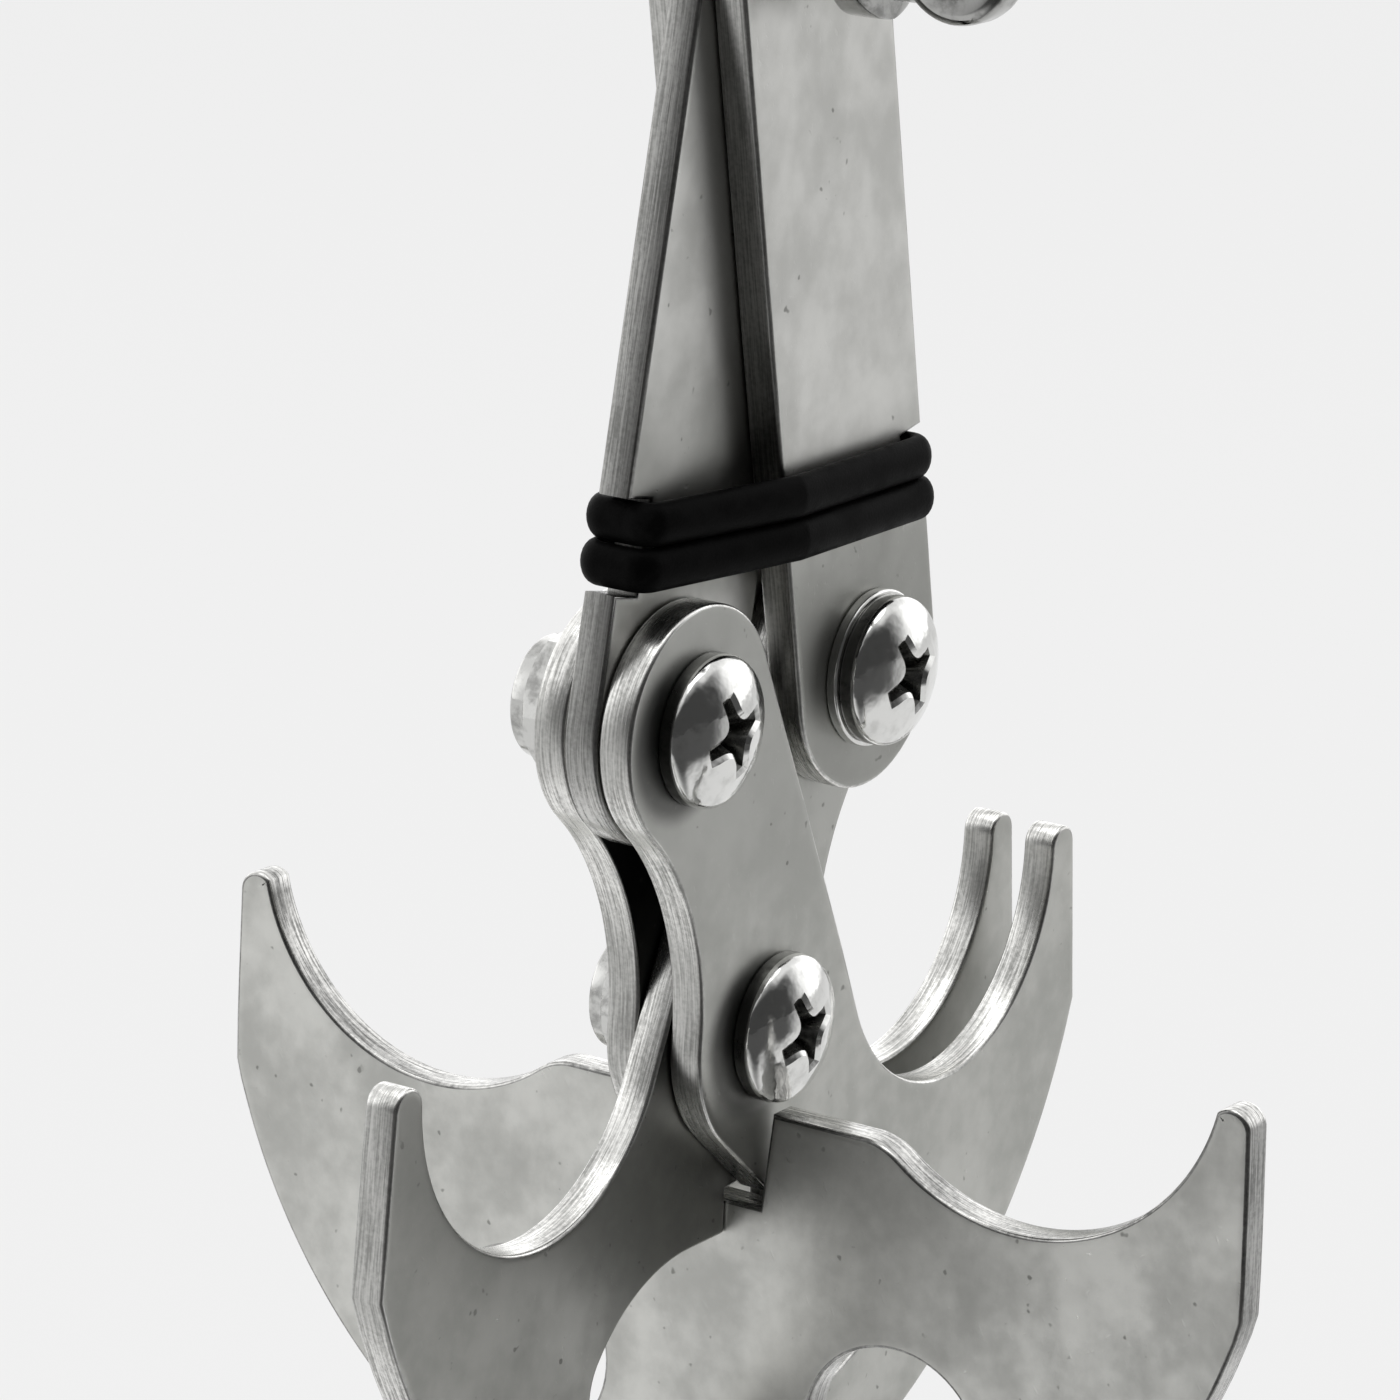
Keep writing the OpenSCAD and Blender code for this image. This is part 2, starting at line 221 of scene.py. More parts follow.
class Paint:
    """One material or world, whose nodes are written as expressions."""

    def __init__(self, name: str, world: bpy.types.World | None = None) -> None:
        """Starts with a bare shader.

        Args:
            name: name of a new material.
            world: a world to paint instead.
        """
        self.material = world or bpy.data.materials.new(name)
        self.material.use_nodes = True
        self.tree = self.material.node_tree
        self.tree.nodes.clear()
        shader = "ShaderNodeBackground" if world else "ShaderNodeBsdfPrincipled"
        output = "ShaderNodeOutputWorld" if world else "ShaderNodeOutputMaterial"
        self.shader = self.node(shader)
        self.output = self.node(output, None, {"Surface": self.shader.outputs[0]})

    def node(
        self,
        kind: str,
        settings: Mapping[str, object] | None = None,
        sockets: Mapping[str | int, object] | None = None,
    ) -> bpy.types.Node:
        """Adds a node.

        Args:
            kind: the node's type.
            settings: properties that are set first.
            sockets: values, wires or sockets for the node's inputs.

        Returns:
            The new node.
        """
        made = self.tree.nodes.new(kind)
        for name, value in (settings or {}).items():
            setattr(made, name, value)
        for name, value in (sockets or {}).items():
            self.feed(made.inputs[name], value)
        return made

    def feed(self, socket: bpy.types.NodeSocket, value: object) -> None:
        """Links or sets one input.

        Args:
            socket: the input.
            value: a wire, an output socket, a number, a colour or a vector.
        """
        if isinstance(value, Wire):
            self.tree.links.new(value.socket, socket)
        elif isinstance(value, bpy.types.NodeSocket):
            self.tree.links.new(value, socket)
        elif socket.type == "RGBA" and len(value) == 3:
            socket.default_value = (*value, 1.0)
        else:
            socket.default_value = value

    def set(self, **sockets: object) -> None:
        """Sets the shader's own inputs, with _ for a space in a name."""
        for name, value in sockets.items():
            self.feed(self.shader.inputs[name.replace("_", " ")], value)

    def place(self, stretch: Point = (1.0, 1.0, 1.0), turn: Point = (0.0, 0.0, 0.0)) -> Wire:
        """Surface point in the piece's own metres.

        Args:
            stretch: scale along X, Y and Z.
            turn: rotation in degrees, before the scale.

        Returns:
            The point as a vector.
        """
        point = self.node("ShaderNodeTexCoord").outputs["Object"]
        turned = self.node(
            "ShaderNodeVectorRotate",
            {"rotation_type": "EULER_XYZ"},
            {"Vector": point, "Rotation": [math.radians(a) for a in turn]},
        )
        return self.vector("MULTIPLY", turned.outputs[0], list(stretch))

    def vector(self, operation: str, *values: object) -> Wire:
        """Result of one Vector Math node.

        Args:
            operation: the node's operation.
            values: its inputs, in order.

        Returns:
            The node's vector, or its value where that is what it gives.
        """
        node = self.node("ShaderNodeVectorMath", {"operation": operation}, dict(enumerate(values)))
        single = operation in ("DOT_PRODUCT", "LENGTH", "DISTANCE")
        return Wire(self, node.outputs["Value" if single else "Vector"])

    def part(self, point: object, letter: str) -> Wire:
        """One of a vector's X, Y and Z."""
        node = self.node("ShaderNodeSeparateXYZ", None, {0: point})
        return Wire(self, node.outputs[letter])

    def noise(self, place: Wire, scale: float, detail: float = 2.0, rough: float = 0.5) -> Wire:
        """Noise from 0 to 1.

        Args:
            place: the vector that it varies over.
            scale: features per unit of that vector.
            detail: octaves.
            rough: share of the finer octaves.

        Returns:
            The noise value.
        """
        node = self.node(
            "ShaderNodeTexNoise",
            {"noise_dimensions": "3D"},
            {"Vector": place, "Scale": scale, "Detail": detail, "Roughness": rough},
        )
        return Wire(self, node.outputs[0])

    def attribute(self, name: str) -> Wire:
        """Value of a mesh attribute."""
        node = self.node("ShaderNodeAttribute", {"attribute_name": name})
        return Wire(self, node.outputs["Fac"])

    def blend(self, share: Wire, low: object, high: object) -> Wire:
        """Mix of two colours.

        Args:
            share: 0 gives the first colour and 1 the second.
            low: first colour or wire.
            high: second colour or wire.

        Returns:
            The mixed colour.
        """
        node = self.node("ShaderNodeMix", {"data_type": "RGBA"}, {0: share, 6: low, 7: high})
        return Wire(self, node.outputs[2])

    def relief(self, height: Wire, depth: float) -> None:
        """Feeds the shader's normal from a height.

        Args:
            height: height from 0 to 1.
            depth: metres that 1 stands for.
        """
        node = self.node("ShaderNodeBump", None, {"Height": height, "Distance": depth, "Strength": 1.0})
        self.set(Normal=node.outputs[0])


# Finishes


@dataclass(frozen=True)
class ShadePatch:
    """Painted shade: a dark patch on a plate round an axis along Y."""

    at: Point
    reach: Span
    share: float
    depth: Span | None = None
    colour: Colour = (0.04, 0.04, 0.038)

    def over(self, paint: Paint, point: Wire, below: Wire) -> Wire:
        """Puts the painted shade over a colour.

        Args:
            paint: the material.
            point: the surface point.
            below: the colour under the shade.

        Returns:
            The shaded colour.
        """
        level = paint.vector("MULTIPLY", point, [1.0, 0.0, 1.0])
        near = 1 - paint.vector("DISTANCE", level, list(self.at)).step(*self.reach)
        if self.depth:
            depth = paint.part(point, "Y")
            near = near * (1 - (depth * depth).step(*(limit**2 for limit in self.depth)))
        return paint.blend(near * self.share, below, self.colour)


@dataclass(frozen=True)
class SatinPlate:
    """Tumbled sheet steel: soft blotches, fine grain, stray scratches and small pits.

    A plate may take painted shade below the heights of fade, and be plain again below those of clear;
    its shade patches are painted shade too.
    """

    name: str
    dull: Colour = (0.57, 0.57, 0.548)
    clean: Colour = (0.68, 0.678, 0.655)
    shade_tone: Colour = (0.30, 0.302, 0.284)
    pit: Colour = (0.20, 0.20, 0.185)
    gloss: Span = (0.34, 0.44)
    blotch_size: float = 9 * MM
    blotch_share: float = 0.65
    cloud_size: float = 2.2 * MM
    tone_span: Span = (0.33, 0.66)
    grain_size: float = 0.22 * MM
    grain_depth: float = 0.006 * MM
    grain_gloss: float = 0.06
    worn_gloss: float = 0.06
    scratch_gloss: float = 0.10
    pit_gloss: float = 0.15
    grain_rise: float = 0.6
    cloud_rise: float = 0.5
    scratch_fall: float = 0.8
    pit_fall: float = 1.5
    pit_size: float = 0.9 * MM
    pit_span: Span = (0.76, 0.83)
    pit_share: float = 0.55
    scratch_across: float = 2600.0
    scratch_runs: tuple[tuple[float, Point, Span], ...] = (
        (55.0, (28, 14, 0), (0.70, 0.76)),
        (70.0, (-52, 37, 0), (0.72, 0.78)),
    )
    fade: Span | None = None
    clear: Span = (-1.0, -0.9)
    shade_share: float = 0.9
    shade_patches: tuple[ShadePatch, ...] = ()

    def make(self) -> bpy.types.Material:
        """Builds the material.

        Returns:
            The new material.
        """
        paint = Paint(self.name)
        point = paint.place()
        blotch = paint.noise(point, 1 / self.blotch_size, detail=3.0, rough=0.55)
        cloud = paint.noise(point, 1 / self.cloud_size, detail=4.0, rough=0.6)
        grain = paint.noise(point, 1 / self.grain_size, detail=2.0, rough=0.6)
        scratch = self._scratches(paint)
        pits = paint.noise(point, 1 / self.pit_size, detail=1.0, rough=0.3).step(*self.pit_span)
        worn = paint.attribute("wear")
        tone = (blotch * self.blotch_share + cloud * (1 - self.blotch_share)).step(*self.tone_span)
        colour = paint.blend(tone, self.dull, self.clean)
        # Painted shade in a band of heights with a ragged edge: the shadow of the rubber rings and the
        # right arm on the arms, and shade on the upper jaws.
        if self.fade:
            height = paint.part(point, "Z") + (blotch - 0.5) * self.blotch_size
            shaded = (1 - height.step(*self.fade)) * height.step(*self.clear)
            colour = paint.blend(shaded * self.shade_share, colour, self.shade_tone)
        # Painted shade: dark patches beside the heads, in the gap between the jaw plates and on the
        # left jaw.
        for stain_and_shade in self.shade_patches:
            colour = stain_and_shade.over(paint, point, colour)
        colour = paint.blend(pits * self.pit_share, colour, self.pit)
        smooth, rough = self.gloss
        gloss = rough - (rough - smooth) * tone
        gloss = gloss + grain * self.grain_gloss - scratch * self.scratch_gloss
        gloss = gloss - worn * self.worn_gloss + pits * self.pit_gloss
        paint.set(Base_Color=colour, Roughness=gloss, Metallic=1.0)
        raised = grain * self.grain_rise + cloud * self.cloud_rise
        paint.relief(raised - scratch * self.scratch_fall - pits * self.pit_fall, self.grain_depth)
        return paint.material

    def _scratches(self, paint: Paint) -> Wire:
        """Thin stray lines in two directions.

        Args:
            paint: the material.

        Returns:
            Their share, from 0 to 1.
        """
        across = self.scratch_across
        first, second = (
            paint.noise(paint.place((across, across, along), turn), 1.0, detail=1.0).step(*span)
            for along, turn, span in self.scratch_runs
        )
        return first.most(second)


@dataclass(frozen=True)
class CutEdge:
    """Cut edge with fine lines along the outline, with painted shade where it stands upright."""

    name: str
    across: Axis
    shade: Colour = (0.30, 0.30, 0.288)
    bright: Colour = (0.90, 0.895, 0.87)
    line_size: float = 0.16 * MM
    line_depth: float = 0.010 * MM
    run: float = 5 * MM
    speck_size: float = 0.35 * MM
    line_share: float = 0.6
    speck_share: float = 0.25
    patch_share: float = 0.15
    speck_rise: float = 0.4
    tone_span: Span = (0.36, 0.62)
    upright_span: Span = (0.02, 0.25)
    upright_shade: float = 0.55
    gloss: Span = (0.20, 0.34)

    def make(self) -> bpy.types.Material:
        """Builds the material.

        Returns:
            The new material.
        """
        paint = Paint(self.name)
        stretch = [1 / self.run] * 3
        stretch[self.across.value] = 1 / self.line_size
        lines = paint.noise(paint.place(stretch), 1.0, detail=3.0, rough=0.6)
        speck = paint.noise(paint.place(), 1 / self.speck_size, detail=3.0, rough=0.6)
        patch = paint.noise(paint.place(), 1 / self.run, detail=2.0, rough=0.5)
        tone = lines * self.line_share + speck * self.speck_share + patch * self.patch_share
        tone = tone.step(*self.tone_span)
        # Painted shade by the edge's slope: upright edges are darker than edges that face up or down.
        lean = paint.part(paint.node("ShaderNodeTexCoord").outputs["Normal"], "Z")
        level = (lean * lean).step(*self.upright_span)
        tone = tone * (1 - self.upright_shade + level * self.upright_shade)
        smooth, rough = self.gloss
        paint.set(
            Base_Color=paint.blend(tone, self.shade, self.bright),
            Roughness=rough - tone * (rough - smooth),
            Metallic=1.0,
        )
        paint.relief(lines + speck * self.speck_rise, self.line_depth)
        return paint.material


@dataclass(frozen=True)
class Polished:
    """Polished steel with faint handling marks."""

    name: str
    tint: Colour = (0.74, 0.74, 0.725)
    smear: Colour = (0.60, 0.60, 0.585)
    gloss: Span = (0.10, 0.24)
    mark_size: float = 1.6 * MM
    mark_span: Span = (0.45, 0.72)
    dent_size: float = 0.8 * MM
    dent_depth: float = 0.012 * MM

    def make(self) -> bpy.types.Material:
        """Builds the material.

        Returns:
            The new material.
        """
        paint = Paint(self.name)
        point = paint.place()
        marks = paint.noise(point, 1 / self.mark_size, detail=4.0, rough=0.6).step(*self.mark_span)
        dents = paint.noise(point, 1 / self.dent_size, detail=2.0, rough=0.4)
        smooth, rough = self.gloss
        paint.set(
            Base_Color=paint.blend(marks, self.tint, self.smear),
            Roughness=smooth + marks * (rough - smooth),
            Metallic=1.0,
        )
        paint.relief(dents, self.dent_depth)
        return paint.material


@dataclass(frozen=True)
class Rubber:
    """Black moulded rubber with a dusty bloom."""

    name: str
    black: Colour = (0.002, 0.002, 0.002)
    bloom: Colour = (0.006, 0.006, 0.006)
    dust_size: float = 2.5 * MM
    dust_span: Span = (0.42, 0.72)
    skin_size: float = 0.18 * MM
    skin_depth: float = 0.02 * MM
    gloss: float = 0.42
    dust_gloss: float = 0.18
    skin_gloss: float = 0.08
    shine: float = 0.035

    def make(self) -> bpy.types.Material:
        """Builds the material.

        Returns:
            The new material.
        """
        paint = Paint(self.name)
        point = paint.place()
        dust = paint.noise(point, 1 / self.dust_size, detail=4.0, rough=0.6).step(*self.dust_span)
        skin = paint.noise(point, 1 / self.skin_size, detail=2.0, rough=0.5)
        paint.set(
            Base_Color=paint.blend(dust, self.black, self.bloom),
            Roughness=self.gloss + dust * self.dust_gloss + skin * self.skin_gloss,
            Specular_IOR_Level=self.shine,
        )
        paint.relief(skin, self.skin_depth)
        return paint.material


@dataclass(frozen=True)
class Nylon:
    """Milky nylon of a lock nut's insert."""

    name: str
    tint: Colour = (0.62, 0.66, 0.72)
    yellowed: Colour = (0.70, 0.68, 0.60)
    stain_size: float = 1.5 * MM
    stain_span: Span = (0.4, 0.7)
    gloss: Span = (0.38, 0.53)

    def make(self) -> bpy.types.Material:
        """Builds the material.

        Returns:
            The new material.
        """
        paint = Paint(self.name)
        stain_and_shade = paint.noise(paint.place(), 1 / self.stain_size, detail=3.0, rough=0.5)
        stain_and_shade = stain_and_shade.step(*self.stain_span)
        smooth, rough = self.gloss
        paint.set(
            Base_Color=paint.blend(stain_and_shade, self.tint, self.yellowed),
            Roughness=smooth + stain_and_shade * (rough - smooth),
        )
        return paint.material


# Mesh tools


def as_object(name: str, bm: bmesh.types.BMesh, crease_deg: float = 40.0) -> bpy.types.Object:
    """Turns a bmesh into a linked object with smooth rounds and sharp creases.

    Args:
        name: the piece's name.
        bm: the mesh, which is freed.
        crease_deg: edges sharper than this stay sharp.

    Returns:
        The new object.
    """
    bmesh.ops.recalc_face_normals(bm, faces=bm.faces)
    mesh = bpy.data.meshes.new(name)
    bm.to_mesh(mesh)
    bm.free()
    mesh.set_sharp_from_angle(angle=math.radians(crease_deg))
    made = bpy.data.objects.new(name, mesh)
    bpy.context.scene.collection.objects.link(made)
    return made


def frame_along(origin: Point, direction: Point) -> Matrix:
    """Frame at a point, whose Z looks along a direction.

    Args:
        origin: the frame's origin.
        direction: where its Z looks.

    Returns:
        The frame's matrix.
    """
    turn = Vector(direction).to_track_quat("Z", "Y").to_matrix().to_4x4()
    return Matrix.Translation(Vector(origin)) @ turn


def skin_rows(bm: bmesh.types.BMesh, rows: Sequence[Sequence[Vector]], closed: bool = False) -> None:
    """Skins rings of equal count; a ring of one point is a pole.

    Args:
        bm: the mesh that takes the faces.
        rows: rings of points, in order.
        closed: whether the last ring joins the first.
    """
    made = [[bm.verts.new(p) for p in row] for row in rows]
    pairs = list(zip(made, made[1:])) + ([(made[-1], made[0])] if closed else [])
    for low, high in pairs:
        count = max(len(low), len(high))
        for i in range(count):
            j = (i + 1) % count
            corners = [low[i % len(low)], low[j % len(low)], high[j % len(high)], high[i % len(high)]]
            unique = list(dict.fromkeys(corners))
            face = bm.faces.new(unique)
            face.smooth = True


def turned(
    bm: bmesh.types.BMesh, profile: Profile, at: Matrix, ring: bool = False, steps: int = 72
) -> None:
    """Turns a profile of (radius, height) points about a frame's Z.

    Args:
        bm: the mesh that takes the faces.
        profile: the profile; a radius of 0 is a pole.
        at: the frame.
        ring: whether the profile closes on itself.
        steps: points round the axis.
    """
    angles = [math.tau * k / steps for k in range(steps)]
    rows = []
    for radius, height in profile:
        if radius < POLE:
            rows.append([at @ Vector((0, 0, height))])
        else:
            ring_points = [(radius * math.cos(a), radius * math.sin(a)) for a in angles]
            rows.append([at @ Vector((x, y, height)) for x, y in ring_points])
    skin_rows(bm, rows, ring)


def round_corner(centre: Point, radius: float, start: float, end: float, steps: int) -> list[Span]:
    """Arc of profile points.

    Args:
        centre: the arc's centre.
        radius: its radius.
        start: first angle in degrees.
        end: last angle in degrees.
        steps: segments.

    Returns:
        The points, ends included.
    """
    angles = [math.radians(start + (end - start) * k / steps) for k in range(steps + 1)]
    return [(centre[0] + radius * math.cos(a), centre[1] + radius * math.sin(a)) for a in angles]


def carve(body: bpy.types.Object, tool: bpy.types.Object, how: Cut, crease_deg: float = 35.0) -> None:
    """Applies an exact boolean and removes the tool.

    Args:
        body: the piece that changes.
        tool: the cutter.
        how: what the tool does.
        crease_deg: edges sharper than this stay sharp.
    """
    change = body.modifiers.new("change", "BOOLEAN")
    change.operation = how.value
    change.solver = "EXACT"
    change.object = tool
    graph = bpy.context.evaluated_depsgraph_get()
    mesh = bpy.data.meshes.new_from_object(body.evaluated_get(graph))
    body.modifiers.clear()
    bm = bmesh.new()
    bm.from_mesh(mesh)
    bmesh.ops.remove_doubles(bm, verts=bm.verts, dist=WELD)
    bmesh.ops.dissolve_degenerate(bm, edges=bm.edges, dist=WELD)
    bm.to_mesh(mesh)
    bm.free()
    old = body.data
    body.data = mesh
    mesh.name = old.name
    mesh.shade_smooth()
    mesh.set_sharp_from_angle(angle=math.radians(crease_deg))
    bpy.data.meshes.remove(old)
    bpy.data.objects.remove(tool)


def hand_over(
    piece: bpy.types.Object, node: str, body: str, slot: Slot, *finishes: bpy.types.Material
) -> None:
    """Gives a piece its finishes and lets it stand for a node on a body.

    Args:
        piece: the piece.
        node: the node that it replaces.
        body: the body that it rides on.
        slot: the record's slot of its finish; not used.
        finishes: its materials, in the order of its material places.
    """
    for finish in finishes:
        piece.data.materials.append(finish)
    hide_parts(node)
    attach(piece, body)
    LOG.info("%s stands for %s on %s", piece.name, node, body)


# Plates


@dataclass
class Plates:
    """Arms, jaws and cross claw: flat plates with rounded rims.

    Each outline is read from the frame's own node, so the plate keeps its size.
    """

    RIGHT_ARM: ClassVar[tuple[str, ...]] = ("right_arm_front", "right_arm_rear")
    LEFT_ARM: ClassVar[tuple[str, ...]] = ("left_arm",)
    RIGHT_JAW: ClassVar[tuple[str, ...]] = ("right_jaw_front", "right_jaw_rear")
    LEFT_JAW: ClassVar[tuple[str, ...]] = ("left_jaw",)
    CROSS: ClassVar[tuple[str, ...]] = ("cross_claw",)
    LEAST_SPREAD: ClassVar[float] = 0.5
    nodes: Mapping[str, bpy.types.Object]
    rim: float = 0.28 * MM
    worn_band: float = 0.45 * MM
    rim_steps: int = 4
    shortest_step: float = 0.06 * MM
    longest_step: float = 0.9 * MM
    corner_deg: float = 24.0
    straight_deg: float = 0.5
    uneven: float = 1.6
    soften_passes: int = 3
    keys_per_metre: float = 1e8
    flat_gap: float = 1e-6
    crease_deg: float = 65.0

    def outline(self, node: str, axis: Axis) -> list[np.ndarray]:
        """Closed loops of a plate's upper face, material on their left.

        Args:
            node: the plate's node.
            axis: its thickness axis.

        Returns:
            The loops in the plate's plane, smoothed where they are round.
        """
        mesh = self.nodes[node].data
        across = axis.value
        plane = [i for i in range(3) if i != across]
        top = max(v.co[across] for v in mesh.vertices)
        seen: set[tuple[tuple[int, int], tuple[int, int]]] = set()
        for polygon in mesh.polygons:
            corners = [mesh.vertices[i].co for i in polygon.vertices]
            if min(c[across] for c in corners) < top - self.flat_gap:
                continue
            keys = [tuple(round(c[i] * self.keys_per_metre) for i in plane) for c in corners]
            seen.update(zip(keys, keys[1:] + keys[:1]))
        edges = {a: b for a, b in seen if (b, a) not in seen}
        loops = []
        while edges:
            start, step = edges.popitem()
            loop = [start]
            while step != start:
                loop.append(step)
                step = edges.pop(step)
            loops.append(self._thinned(np.array(loop, float) / self.keys_per_metre))
        loops.sort(key=lambda p: -abs(self._area(p)))
        signs = [1.0] + [-1.0] * (len(loops) - 1)
        facing = [p if self._area(p) * s > 0 else p[::-1] for p, s in zip(loops, signs)]
        return [self._soften(p) for p in facing]

    def _thinned(self, loop: np.ndarray) -> np.ndarray:
        """Loop without points that lie closer than the shortest step.

        Args:
            loop: the loop's points.

        Returns:
            The thinned loop.
        """
        kept = [loop[0]]
        for point in loop[1:]:
            if np.linalg.norm(point - kept[-1]) > self.shortest_step:
                kept.append(point)
        if np.linalg.norm(kept[0] - kept[-1]) < self.shortest_step:
            kept.pop()
        return np.array(kept)

    @staticmethod
    def _area(loop: np.ndarray) -> float:
        """Signed area of a loop, positive anticlockwise."""
        after = np.roll(loop, -1, 0)
        return float(np.sum(loop[:, 0] * after[:, 1] - loop[:, 1] * after[:, 0]) / 2)

    @staticmethod
    def _turns(loop: np.ndarray) -> np.ndarray:
        """Turn of the way at each point of a loop, in degrees.

        Args:
            loop: the loop's points.

        Returns:
            The turns, positive to the left.
        """
        ahead = np.roll(loop, -1, 0) - loop
        heading = np.degrees(np.arctan2(ahead[:, 1], ahead[:, 0]))
        return (heading - np.roll(heading, 1) + 180) % 360 - 180

    def _soften(self, loop: np.ndarray) -> np.ndarray:
        """Adds points to a loop's round stretches, inside its box, until no step is long.

        Args:
            loop: the loop's points.

        Returns:
            The finer loop.
        """
        lowest, highest = loop.min(0), loop.max(0)
        for _ in range(self.soften_passes):
            before, after = np.roll(loop, 1, 0), np.roll(loop, -1, 0)
            beyond = np.roll(loop, -2, 0)
            steps = np.linalg.norm(after - loop, axis=1)
            turns = np.abs(self._turns(loop))
            smooth = (turns < self.corner_deg) & (turns > self.straight_deg)
            rounded = smooth & np.roll(smooth, -1)
            reach = np.maximum(np.roll(steps, 1), np.roll(steps, -1))
            rounded &= reach < self.uneven * steps
            # The four-point rule puts the new point on the curve, not on the chord.
            middle = (9 * (loop + after) - before - beyond) / 16
            points = []
            for here, half, gains in zip(loop, middle, rounded & (steps > self.longest_step)):
                points.append(here)
                if gains:
                    points.append(half)
            loop = np.array(points)
        return np.clip(loop, lowest, highest)

    @staticmethod
    def outward(loop: np.ndarray) -> np.ndarray:
        """Mitred outward directions at a loop's points.

        Args:
            loop: the loop's points, anticlockwise round what it bounds.

        Returns:
            The directions, longer at corners.
        """
        ahead = np.roll(loop, -1, 0) - loop
        ahead /= np.linalg.norm(ahead, axis=1)[:, None]
        after = np.stack([ahead[:, 1], -ahead[:, 0]], 1)
        before = np.roll(after, 1, 0)
        spread = 1 + np.sum(after * before, 1)
        return (after + before) / np.maximum(spread, Plates.LEAST_SPREAD)[:, None]

    def _rows(self, low: float, high: float) -> list[tuple[float, float, float]]:
        """Rows of (inset, height, wear) from the upper face round to the lower.

        Args:
            low: the lower face's height.
            high: the upper face's height.

        Returns:
            The rows, in order.
        """
        arc = [math.radians(90 * k / self.rim_steps) for k in range(self.rim_steps + 1)]
        upper = [(self.rim * (1 - math.sin(a)), high - self.rim * (1 - math.cos(a)), 1.0) for a in arc]
        lower = [(inset, low + high - height, wear) for inset, height, wear in reversed(upper)]
        band = self.rim + self.worn_band
        return [(band, high, 0.0), *upper, *lower, (band, low, 0.0)]

    def build(self, node: str, axis: Axis) -> bpy.types.Object:
        """Builds one plate.

        Args:
            node: the node whose outline it has.
            axis: its thickness axis.

        Returns:
            The plate's object.
        """
        low, high = (corner[axis.value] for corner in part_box(node))
        rows = self._rows(low, high)
        bm = bmesh.new()
        wear = bm.verts.layers.float.new("wear")
        rims: list[list[bmesh.types.BMEdge]] = [[], []]
        for loop in self.outline(node, axis):
            out = self.outward(loop)
            sharp = np.abs(self._turns(loop)) > self.corner_deg
            rings = []
            for inset, height, worn in rows:
                ring = [bm.verts.new(self._lift(p, height, axis)) for p in loop - out * inset]
                for vert in ring:
                    vert[wear] = worn
                rings.append(ring)
            self._walls(bm, rings, sharp)
            for edges, ring in zip(rims, (rings[0], rings[-1])):
                edges.extend(bm.edges.get((a, b)) for a, b in zip(ring, ring[1:] + ring[:1]))
        for edges in rims:
            bmesh.ops.triangle_fill(bm, use_beauty=True, edges=edges)
        return as_object(f"{node}_plate", bm, self.crease_deg)

    @staticmethod
    def _lift(point: np.ndarray, height: float, axis: Axis) -> Vector:
        """Point of a plate's plane at a height along its thickness axis.

        Args:
            point: the point in the plane.
            height: its height.
            axis: the thickness axis.

        Returns:
            The point in space.
        """
        if axis is Axis.Y:
            return Vector((point[0], height, point[1]))
        return Vector((height, point[0], point[1]))

    @staticmethod
    def _walls(bm: bmesh.types.BMesh, rings: list[list[bmesh.types.BMVert]], sharp: np.ndarray) -> None:
        """Faces between a loop's rings: worn bands, rims and the cut wall.

        Args:
            bm: the mesh that takes the faces.
            rings: the loop's rings of points, from the upper face to the lower.
            sharp: whether each point of the loop is a corner.
        """
        last = len(rings) - 2
        count = len(sharp)
        for k, (upper, lower) in enumerate(zip(rings, rings[1:])):
            flat = k in (0, last)
            for i in range(count):
                j = (i + 1) % count
                face = bm.faces.new((upper[i], upper[j], lower[j], lower[i]))
                face.smooth = not flat
                face.material_index = (Zone.FACE if flat else Zone.EDGE).value
            for i in np.flatnonzero(sharp):
                bm.edges.get((upper[i], lower[i])).smooth = False

    def dress(
        self,
        bodies: Mapping[str, str],
        which: Sequence[str],
        face: bpy.types.Material,
        edge: bpy.types.Material,
        axis: Axis = Axis.Y,
        slot: Slot = Slot.PLATE,
    ) -> None:
        """Builds and hands over plates.

        Args:
            bodies: body of each node.
            which: the plates' nodes.
            face: finish of the flat faces.
            edge: finish of the cut edges.
            axis: their thickness axis.
            slot: the record's slot of their finish.
        """
        for node in which:
            hand_over(self.build(node, axis), node, bodies[node], slot, face, edge)


# Fasteners


